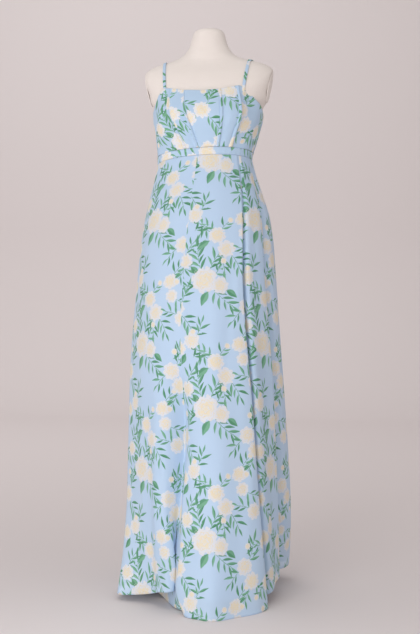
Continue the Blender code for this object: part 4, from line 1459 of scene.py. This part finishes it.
    def build(self, chiffon: bpy.types.Material, floral: FloralPrint) -> None:
        """Makes and dresses the front, the back and the band.

        Args:
            chiffon: the cloth's material.
            floral: its print.
        """
        ring = self.ring()
        front = ring.panel("left seam", *self.front_breadths)
        front.crease(self.creases)
        front.crease(self.puckers(width=0.34, pitch=0.0095, height=0.0005, foot=0.158))
        back = ring.panel("right seam", ("back centre", "left seam", 0.0))
        back.crease(self.puckers(width=0.40, pitch=0.0080, height=0.0009, foot=0.100))
        for panel, name, node, flat, shift in (
            (front, "bodice_front_panel", "bodice_front", self.front_flat, (-0.105, -0.222)),
            (back, "bodice_back_panel", "bodice_back", self.back_flat, (0.03, 0.05)),
        ):
            panel.trim_sides(SEAM_GAP)
            panel.turn_edge(at_top=True, depth=0.007, room=0.0009)
            piece = sewn(panel, name, "printed_cloth", node, chiffon, floral, shift)
        self.build_band(chiffon, floral)

    def build_band(self, chiffon: bpy.types.Material, floral: FloralPrint) -> None:
        """The narrow band, whose edges are turned in at the seams.

        Args:
            chiffon: the cloth's material.
            floral: its print.
        """
        above = BAND_HEIGHT * np.array([1.0, 0.995, 0.965, 0.9, 0.7, 0.5, 0.3, 0.1, 0.035, 0.005, 0.0])
        out = 0.0001 * np.array([-22, -8, -1, 2, 2, 1, 2, 2, -1, -8, -22])
        columns = []
        for bearing in np.arange(-90.0, 270.0, 1.0):
            radius = self.radius(bearing, WAIST_SEAM_Z + above) - self.inset
            ripple = 0.00025 * math.sin(bearing * 0.9) + 0.0002 * math.sin(bearing * 2.3 + 1.0)
            point = at_bearing(bearing + 0 * above, radius + out + ripple, above)
            point[:, 2] = waist_seam_z(point[:, 0]) + above
            columns.append(point)
        names = {"left seam": 0, "middle": 90, "right seam": 180, "back middle": 270}
        ring = ClothRing(np.array(columns), names)
        front, back = ("left seam", "middle", "right seam"), ("right seam", "back middle", "left seam")
        for name, node, (first, middle, last), shift in (
            ("waistband_front_strip", "waistband_front", front, (-0.088, -0.272)),
            ("waistband_back_strip", "waistband_back", back, (0.02, 0.08)),
        ):
            panel = ring.panel(first, (middle, last, 0.0))
            panel.trim_sides(SEAM_GAP)
            piece = sewn(panel, name, "printed_cloth", node, chiffon, floral, shift)


@dataclass
class Straps:
    """The two narrow straps, each a strip folded flat and stitched, over the shoulders of the form."""

    width: float = 0.0085
    thickness: float = 0.0013
    clearance: float = 0.0016
    front_x: float = 0.107
    top_x: float = 0.1235
    back_x: float = 0.088
    front_z: float = 1.388
    back_z: float = 1.332
    steps: int = 120
    flat: tuple[float, float] = (0.020, 0.37)

    def build(self, form: bpy.types.Object, chiffon: bpy.types.Material, floral: FloralPrint) -> None:
        """Lays both straps on the form's skin.

        Args:
            form: the form's cover, on which they lie.
            chiffon: the cloth's material.
            floral: its print.
        """
        tree = BVHTree.FromPolygons(
            [tuple(v.co) for v in form.data.vertices], [tuple(p.vertices) for p in form.data.polygons]
        )
        sides = (("strap_left_strip", "strap_left", -1), ("strap_right_strip", "strap_right", 1))
        for name, node, side in sides:
            points, normals = [], []
            for k in range(self.steps + 1):
                turn = math.pi * k / self.steps
                share = 2.0 * k / self.steps - 1.0
                end_x, end_z = (self.front_x, self.front_z) if share < 0 else (self.back_x, self.back_z)
                x = self.top_x + (end_x - self.top_x) * abs(share)
                z = self.front_z + (end_z - self.front_z) * abs(share)
                pivot = Vector((side * x, 0.0, z))
                way = Vector((0.0, -math.cos(turn), math.sin(turn)))
                hit, normal, _, _ = tree.ray_cast(pivot + way, -way)
                points.append(hit)
                normals.append(normal)
            panel = self.strip(points, normals)
            piece = sewn(panel, name, "printed_cloth", node, chiffon, floral, (0.02 * side, 0.05))

    def strip(self, points: list[Vector], normals: list[Vector]) -> ClothPanel:
        """A soft-edged flat tube of cloth along the points.

        Args:
            points: points of the form's skin, along the strap.
            normals: the skin's normals there.

        Returns:
            The tube, as a panel of cloth.
        """
        half = ((0.42, 0.0), (0.49, 0.2), (0.5, 0.5), (0.49, 0.8), (0.42, 1.0), (0.2, 0.96))
        other_half = tuple((-across, out) for across, out in reversed(half))
        outline = ((-0.42, 0.0), (0.0, 0.0), *half, (0.0, 1.0), *other_half)
        columns = []
        for k, (point, normal) in enumerate(zip(points, normals)):
            along = (points[min(k + 2, len(points) - 1)] - points[max(k - 2, 0)]).normalized()
            across = along.cross(normal).normalized()
            out = across.cross(along)
            base = point + out * self.clearance
            columns.append([base + across * a * self.width + out * o * self.thickness for a, o in outline])
        grid = np.array(columns).transpose(1, 0, 2)
        return ClothPanel(grid, np.zeros_like(grid), [(0, 8, len(grid) - 1, 0.0)])


@dataclass
class Skirt:
    """The sheer printed skirt: two wide panels from the band to the floor, with their side seams."""

    sections: tuple[tuple[float, ...], ...] = (
        (0.000, 0.245, 0.200, 0.268, 0.240, 2.2),
        (0.090, 0.233, 0.200, 0.262, 0.237, 2.2),
        (0.200, 0.226, 0.200, 0.254, 0.233, 2.2),
        (0.430, 0.224, 0.198, 0.236, 0.223, 2.2),
        (0.660, 0.220, 0.196, 0.216, 0.206, 2.2),
        (0.880, 0.203, 0.190, 0.193, 0.181, 2.2),
        (1.000, 0.191, 0.182, 0.176, 0.163, 2.2),
        (1.060, 0.182, 0.172, 0.163, 0.149, 2.2),
        (1.110, 0.171, 0.157, 0.149, 0.132, 2.25),
        (1.170, 0.156, 0.137, 0.129, 0.108, 2.3),
        (1.222, 0.1465, 0.1235, 0.114, 0.092, 2.3),
    )
    folds: tuple[Fold | ValleyLine, ...] = (
        Fold("left seam", -90.0, -90.0, -90.0, -90.0, -88.0, 0.235, 0.020, 1.15, 1.0),
        Fold("left corner", -70.0, -72.0, -72.0, -70.0, -60.5, 0.268, 0.015, 1.00, 3.0),
        Fold("left shoulder", -50.0, -52.0, -51.0, -50.0, -48.0, 0.2275, 0.022, 0.90, 1.5),
        Fold("lobe face", -36.0, -39.0, -38.0, -37.0, -36.0, 0.215, 0.033, 0.80, 1.6),
        Fold("lobe side", -26.0, -29.0, -29.0, -29.5, -27.0, 0.229, 0.045, 0.80, 2.2),
        ValleyLine(
            "lobe end",
            0.052,
            (-18.5, -21.0, -21.6, -21.6, -21.9, -21.4, -19.8, -18.6, -18.0),
            (0.2260, 0.2300, 0.2330, 0.2370, 0.2375, 0.2390),
        ),
        ValleyLine(
            "lobe tip",
            0.055,
            (-14.5, -17.4, -17.8, -17.3, -18.2, -18.6, -15.6, -14.2, -15.0),
            (0.2110, 0.2153, 0.2178, 0.2233, 0.2242, 0.2290),
        ),
        ValleyLine(
            "lobe turn",
            0.055,
            (-11.5, -14.6, -15.4, -15.2, -16.4, -17.5, -17.2, -17.4, -18.0),
            (0.2017, 0.2065, 0.2089, 0.2152, 0.2121, 0.2120),
        ),
        ValleyLine(
            "front hollow",
            0.042,
            (-9.2, -12.8, -13.4, -12.9, -14.8, -16.8, -18.4, -27.7, -36.0),
            (0.1930, 0.1983, 0.1994, 0.2028, 0.1895, 0.1770),
        ),
        ValleyLine(
            "hollow floor",
            0.020,
            (-7.3, -11.2, -11.8, -11.0, -13.3, -16.6, -25.4, -38.5, -54.6),
            (0.1878, 0.1935, 0.1950, 0.1900, 0.1789, 0.1650),
        ),
        ValleyLine(
            "inner wall",
            0.004,
            (-5.4, -9.6, -10.4, -9.1, -11.8, -14.5, -24.8, -38.1, -51.0),
            (0.1935, 0.1989, 0.2050, 0.1865, 0.1644, 0.1500),
        ),
        ValleyLine(
            "hollow wall",
            0.003,
            (-3.4, -7.9, -8.8, -7.3, -9.9, -11.7, -15.8, -17.0, -16.1),
            (0.2047, 0.2135, 0.2202, 0.2148, 0.2115, 0.2075),
        ),
        ValleyLine(
            "wall edge",
            0.002,
            (-1.4, -6.0, -7.2, -5.9, -8.1, -9.1, -11.0, -11.9, -8.1),
            (0.2147, 0.2323, 0.2398, 0.2362, 0.2420, 0.2230),
        ),
        ValleyLine(
            "front left edge",
            0.001,
            (0.8, -4.6, -6.0, -5.1, -7.0, -7.8, -9.4, -10.4, -5.0),
            (0.2200, 0.2360, 0.2460, 0.2520, 0.2550, 0.2620),
        ),
        Fold("front left", 12.0, 4.0, 3.0, 1.0, 3.7, 0.282, 0.000, 1.10, 1.0),
        Fold("front crown", 24.0, 14.0, 13.0, 12.0, 10.0, 0.296, 0.000, 1.10, 1.0),
        Fold("front right", 36.0, 26.0, 26.0, 27.0, 25.6, 0.271, 0.000, 1.10, 1.0),
        Fold("front bend", 43.0, 33.0, 35.3, 39.2, 40.5, 0.258, 0.000, 1.15, 1.0),
        Fold("front right edge", 47.6, 36.4, 39.4, 45.2, 51.0, 0.236, 0.002, 1.222, 0.8),
        Fold("pleat inner", 48.1, 36.6, 39.2, 44.3, 49.5, 0.196, 0.004, 1.222, 0.75),
        Fold("pleat floor", 50.4, 39.8, 41.2, 46.8, 53.5, 0.186, 0.012, 1.222, 0.75),
        Fold("pleat lip", 52.2, 41.8, 43.4, 50.0, 60.0, 0.217, 0.030, 1.222, 1.0),
        Fold("second face", 60.0, 50.0, 56.0, 66.0, 77.3, 0.200, 0.040, 1.10, 1.0),
        Fold("second edge", 70.0, 60.5, 70.0, 82.5, 98.0, 0.199, 0.042, 1.20, 0.9),
        Fold("second hollow", 71.5, 61.5, 70.5, 83.0, 104.0, 0.172, 0.042, 1.20, 0.7),
        Fold("second floor", 75.0, 66.0, 76.0, 90.0, 112.0, 0.176, 0.042, 1.20, 0.7),
        Fold("third face", 80.0, 75.0, 86.0, 102.0, 121.3, 0.243, 0.042, 0.95, 1.5),
        Fold("right seam", 90.0, 92.0, 104.0, 120.5, 133.3, 0.286, 0.042, 0.95, 1.6),
        Fold("back hollow 1", 104.0, 110.0, 122.0, 133.0, 143.0, 0.232, 0.040, 1.10, 0.9),
        Fold("back ridge 1", 121.0, 127.0, 137.0, 146.0, 155.0, 0.268, 0.038, 1.10, 1.0),
        Fold("back hollow 2", 140.0, 144.0, 152.0, 161.0, 169.0, 0.212, 0.036, 1.10, 0.9),
        Fold("back ridge 2", 155.0, 157.0, 163.0, 170.0, 178.0, 0.250, 0.034, 1.00, 1.0),
        Fold("back hollow 3", 172.0, 173.0, 177.0, 183.0, 190.0, 0.216, 0.032, 1.00, 0.9),
        Fold("back ridge 3", 192.0, 192.0, 195.0, 200.0, 206.0, 0.264, 0.030, 1.15, 1.0),
        Fold("back hollow 4", 211.0, 211.0, 213.0, 216.0, 221.0, 0.206, 0.028, 1.15, 0.9),
        Fold("back ridge 4", 226.0, 226.0, 227.0, 229.0, 232.0, 0.247, 0.026, 0.95, 1.0),
        Fold("left back hollow", 241.0, 241.0, 242.0, 243.0, 245.0, 0.219, 0.024, 0.95, 0.9),
        Fold("left back ridge", 255.0, 255.0, 255.0, 256.0, 258.0, 0.250, 0.022, 1.05, 1.0),
    )
    front_breadths: tuple[tuple[str, str, float], ...] = (
        ("left shoulder", "hollow floor", 0.0),
        ("front crown", "pleat floor", 0.0),
        ("second face", "second floor", 0.0),
        ("third face", "right seam", 0.0),
    )
    back_breadths: tuple[tuple[str, str, float], ...] = (
        ("back ridge 1", "back hollow 2", 0.0),
        ("back ridge 2", "back hollow 3", 0.0),
        ("back ridge 3", "back hollow 4", 0.0),
        ("back ridge 4", "left back hollow", 0.0),
        ("left back ridge", "left seam", 0.0),
    )
    creases: tuple[Crease, ...] = (
        Crease(-0.030, 0.05, -0.045, 0.95, 0.020, 0.0022),
        Crease(-0.075, 0.10, -0.100, 0.80, 0.016, -0.0018),
        Crease(0.028, 0.02, 0.040, 0.62, 0.012, -0.0016),
        Crease(0.045, 0.30, 0.060, 1.15, 0.016, 0.0020),
        Crease(-0.130, 0.04, -0.190, 0.60, 0.012, 0.0018),
        Crease(-0.160, 0.25, -0.260, 1.05, 0.018, -0.0020),
        Crease(-0.100, 0.45, -0.140, 1.15, 0.014, 0.0016),
        Crease(0.090, 0.50, 0.120, 1.18, 0.014, 0.0014),
    )
    rows: int = 205
    step: float = 0.0046
    inset: float = 0.0006
    front_flat: tuple[float, float] = (1.40, 1.26)
    front_area: float = 1.10
    back_flat: tuple[float, float] = (1.20, 1.22)
    back_area: float = 0.90
    front_shift: tuple[float, float] = (-0.175, 0.315)
    back_shift: tuple[float, float] = (0.05, 0.10)

    def ring(self) -> ClothRing:
        """The skirt's cloth all round, from the waist seam to the hem.

        Returns:
            The ring of cloth.
        """
        drop = np.linspace(0.0, 1.0, self.rows) ** 1.05
        height = WAIST_SEAM_Z * (1 - drop)
        lines = []
        for fold in self.folds:
            bearing, radius = fold.path(self.sections, height)
            point = at_bearing(bearing, radius - self.inset, height)
            top = waist_seam_z(point[0, 0]) - SEAM_GAP
            point[:, 2] = top + (fold.lift - top) * drop
            lines.append(point)
        return ClothRing.through(np.array(lines), [fold.name for fold in self.folds], self.step)

    @staticmethod
    def gathers(width: float, pitch: float, height: float) -> list[Crease]:
        """Small uneven gathers just below the band, on a panel of a given width.

        Args:
            width: the panel's width, in metres.
            pitch: how far apart the gathers are, in metres.
            height: how far they stand out, in metres.

        Returns:
            The creases.
        """
        made = []
        for k in range(int(width / pitch)):
            across = -width / 2 + pitch * (k + 0.5 + 0.35 * math.sin(2.7 * k))
            long = 0.035 + 0.022 * math.sin(1.9 * k + 0.4)
            strong = height * (0.65 + 0.35 * math.sin(3.3 * k + 1.0))
            made.append(Crease(across, -long * 0.9, across * 1.03, long, 0.0030, strong))
        return made

    def build(self, chiffon: bpy.types.Material, floral: FloralPrint) -> None:
        """Makes and dresses the two panels.

        Args:
            chiffon: the cloth's material.
            floral: its print.
        """
        ring = self.ring()
        front = ring.panel("left seam", *self.front_breadths)
        front.crease(self.creases)
        front.crease(self.gathers(width=0.46, pitch=0.0120, height=0.0006))
        back = ring.panel("right seam", *self.back_breadths)
        back.crease(self.gathers(width=0.40, pitch=0.0080, height=0.0010))
        for panel, name, node, flat, area, shift in (
            (front, "skirt_front_panel", "skirt_front", self.front_flat, self.front_area, self.front_shift),
            (back, "skirt_back_panel", "skirt_back", self.back_flat, self.back_area, self.back_shift),
        ):
            panel.trim_sides(SEAM_GAP)
            panel.turn_edge(at_top=False, depth=0.008, room=0.0007)
            piece = sewn(panel, name, "printed_cloth", node, chiffon, floral, shift)


@dataclass
class Lining(Skirt):
    """The plain lining under the skirt, narrower and shorter than it."""

    sections: tuple[tuple[float, ...], ...] = (
        (0.000, 0.180, 0.170, 0.215, 0.195, 2.2),
        (0.430, 0.184, 0.172, 0.196, 0.186, 2.2),
        (0.660, 0.188, 0.174, 0.185, 0.174, 2.2),
        (0.880, 0.184, 0.173, 0.165, 0.152, 2.2),
        (1.000, 0.173, 0.165, 0.148, 0.138, 2.2),
        (1.060, 0.164, 0.155, 0.138, 0.126, 2.2),
        (1.110, 0.155, 0.143, 0.127, 0.114, 2.25),
        (1.170, 0.1465, 0.1255, 0.115, 0.0975, 2.3),
        (1.222, 0.1430, 0.1200, 0.1105, 0.0885, 2.3),
    )
    folds: tuple[Fold, ...] = (
        Fold("left seam", -90.0, -90.0, -90.0, -90.0, -90.0, 0.182, 0.048, 1.00, 1.0),
        Fold("left corner", -66.0, -66.0, -66.0, -64.0, -62.0, 0.190, 0.048, 1.00, 1.0),
        Fold("front hollow", -34.0, -32.0, -28.0, -30.0, -48.0, 0.144, 0.046, 0.95, 1.0),
        Fold("hollow wall", -14.0, -12.0, -9.0, -14.0, -25.0, 0.150, 0.044, 0.95, 0.8),
        Fold("front left", 2.0, 2.0, 3.0, 1.0, -4.0, 0.206, 0.043, 0.90, 1.0),
        Fold("front crown", 22.0, 13.0, 12.0, 11.0, 10.0, 0.266, 0.042, 1.00, 1.0),
        Fold("front right", 40.0, 32.0, 32.0, 34.0, 36.0, 0.232, 0.042, 1.00, 1.0),
        Fold("pleat floor", 51.0, 43.0, 44.0, 48.0, 54.0, 0.170, 0.044, 1.10, 0.8),
        Fold("second face", 64.0, 54.0, 60.0, 68.0, 76.0, 0.184, 0.048, 1.10, 0.8),
        Fold("second hollow", 74.0, 65.0, 74.0, 86.0, 106.0, 0.160, 0.050, 1.10, 0.8),
        Fold("right seam", 90.0, 92.0, 103.0, 116.0, 131.0, 0.205, 0.050, 1.00, 1.0),
        Fold("back hollow", 118.0, 124.0, 136.0, 150.0, 160.0, 0.190, 0.050, 1.00, 1.0),
        Fold("back ridge", 152.0, 156.0, 162.0, 170.0, 182.0, 0.200, 0.050, 1.00, 1.0),
        Fold("back left hollow", 190.0, 190.0, 194.0, 200.0, 208.0, 0.186, 0.050, 1.00, 1.0),
        Fold("back left ridge", 226.0, 226.0, 228.0, 232.0, 238.0, 0.200, 0.049, 1.00, 1.0),
    )
    rows: int = 110
    step: float = 0.010
    front_flat: tuple[float, float] = (0.85, 1.20)
    front_area: float = 0.78
    back_flat: tuple[float, float] = (0.66, 1.20)
    back_area: float = 0.62

    def build_plain(self, weave: bpy.types.Material) -> None:
        """Makes the two lining panels.

        Args:
            weave: the lining's material.
        """
        ring = self.ring()
        front = ring.panel("left seam", ("front crown", "right seam", 0.0))
        back = ring.panel("right seam", ("back ridge", "left seam", 0.0))
        for panel, name, node, flat, area in (
            (front, "lining_front_panel", "lining_front", self.front_flat, self.front_area),
            (back, "lining_back_panel", "lining_back", self.back_flat, self.back_area),
        ):
            panel.trim_sides(SEAM_GAP)
            panel.turn_edge(at_top=False, depth=0.012, room=0.0009)
            piece = sewn(panel, name, "lining", node, weave)


@dataclass(frozen=True)
class Lamp:
    """A square soft light, by its place, the point that it faces, its watts, its side and its spread."""

    name: str
    place: tuple[float, float, float]
    aim: tuple[float, float, float]
    power: float
    size: float
    spread: float = 180.0

    def build(self) -> None:
        """Hangs the lamp, out of the camera's sight."""
        light = bpy.data.lights.new(self.name, "AREA")
        light.energy = self.power
        light.size = self.size
        light.spread = math.radians(self.spread)
        made = bpy.data.objects.new(self.name, light)
        made.location = self.place
        made.rotation_euler = (Vector(self.aim) - Vector(self.place)).to_track_quat("-Z", "Y").to_euler()
        made.visible_camera = False
        bpy.context.scene.collection.objects.link(made)


@dataclass
class Studio:
    """A pale floor that sweeps up behind, soft light from the front left, and a level camera."""

    paper: str = "#E0D9D9"
    sweep_front: float = -7.0
    sweep_reach: float = 4.6
    sweep_bend: float = 1.6
    sweep_high: float = 7.0
    sweep_half_width: float = 9.0
    lamps: tuple[Lamp, ...] = (
        Lamp("key", (-1.5, -4.65, 1.2), (0.0, 0.0, 0.5), 99.0, 2.3),
        Lamp("fill", (3.4, -2.6, 1.3), (0.0, 0.0, 0.5), 6.0, 2.6),
        Lamp("backdrop", (-2.0, 2.4, 4.4), (-1.6, 6.0, 1.0), 54.0, 3.6),
        Lamp("floor", (0.0, -2.1, 3.2), (0.0, -1.8, 0.0), 8.0, 1.4, spread=55.0),
    )
    room: str = "#E9E4E2"
    room_strength: float = 0.75
    camera_turn: float = 9.0
    camera_distance: float = 2.84
    camera_height: float = 0.778
    focal_px: float = 997.0
    frame_height_px: float = 634.0
    aside_px: float = 1.0
    sensor_mm: float = 36.0

    def build(self) -> None:
        """Makes the whole studio."""
        self.sweep()
        self.lights()
        self.camera()
        bpy.context.scene.view_settings.view_transform = "Standard"

    def sweep(self) -> None:
        """The floor and the wall behind it, joined by a wide curve."""
        reach, bend, wide = self.sweep_reach, self.sweep_bend, self.sweep_half_width
        profile = [(self.sweep_front, 0.0), (-3.0, 0.0), (0.0, 0.0), (reach, 0.0)]
        for turn in np.linspace(0, math.pi / 2, 24)[1:]:
            profile.append((reach + bend * math.sin(turn), bend - bend * math.cos(turn)))
        profile.append((reach + bend, self.sweep_high))
        vertices, faces = [], []
        for k, (y, z) in enumerate(profile):
            vertices += [(-wide, y, z), (wide, y, z)]
            if k:
                faces.append((2 * k - 2, 2 * k - 1, 2 * k + 1, 2 * k))
        mesh = bpy.data.meshes.new("studio_sweep")
        mesh.from_pydata(vertices, [], faces)
        mesh.shade_smooth()
        paper, _, shader = new_material("matt paper")
        shader.inputs["Base Color"].default_value = linear(self.paper)
        shader.inputs["Roughness"].default_value = 0.9
        mesh.materials.append(paper)
        floor = bpy.data.objects.new("studio_sweep", mesh)
        floor.location.z = -0.0005
        bpy.context.scene.collection.objects.link(floor)

    def lights(self) -> None:
        """A broad soft key at the front left, a weak fill, lamps for wall and floor, and an even room."""
        for lamp in self.lamps:
            lamp.build()
        world = bpy.data.worlds.new("room")
        world.use_nodes = True
        glow = world.node_tree.nodes["Background"]
        glow.inputs["Color"].default_value = linear(self.room)
        glow.inputs["Strength"].default_value = self.room_strength
        bpy.context.scene.world = world

    def camera(self) -> None:
        """A level camera, a little to the right of the front."""
        turn = math.radians(self.camera_turn)
        lens = bpy.data.cameras.new("camera")
        lens.sensor_width = self.sensor_mm
        lens.lens = self.focal_px / self.frame_height_px * self.sensor_mm
        lens.shift_x = self.aside_px / self.frame_height_px
        made = bpy.data.objects.new("camera", lens)
        made.location = (
            self.camera_distance * math.sin(turn),
            -self.camera_distance * math.cos(turn),
            self.camera_height,
        )
        made.rotation_euler = (math.pi / 2, 0.0, turn)
        bpy.context.scene.collection.objects.link(made)
        bpy.context.scene.camera = made


def main() -> None:
    """Builds every piece of the dress and its form, then the studio."""
    logging.basicConfig(level=logging.INFO, format="%(message)s")
    floral = FloralPrint()
    form = DressForm()
    cover = PlainWeave("cream cotton form cover", "#EBE4DF", "#E6DED8", 0.9).build()
    form.build(cover, PaintedSteel().build())
    lined = PrintedChiffon().build()
    Bodice(form).build(lined, floral)
    Straps().build(bpy.data.objects["form_torso_cover"], lined, floral)
    # The skirt's copy of the chiffon has a lighter ground than the bodice's: painted light, standing in for
    # the light that the sheer cloth lets through onto the lining
    sheer = PrintedChiffon(
        name="sheer printed polyester chiffon", ground="#CAE2FB", ground_shade="#C5DEF8", opacity=0.80
    ).build()
    Skirt().build(sheer, floral)
    Lining().build_plain(PlainWeave("light blue polyester lining", "#B9D2F2", "#B1CCEE", 0.8).build())
    Studio().build()


if __name__ == "__main__":
    main()
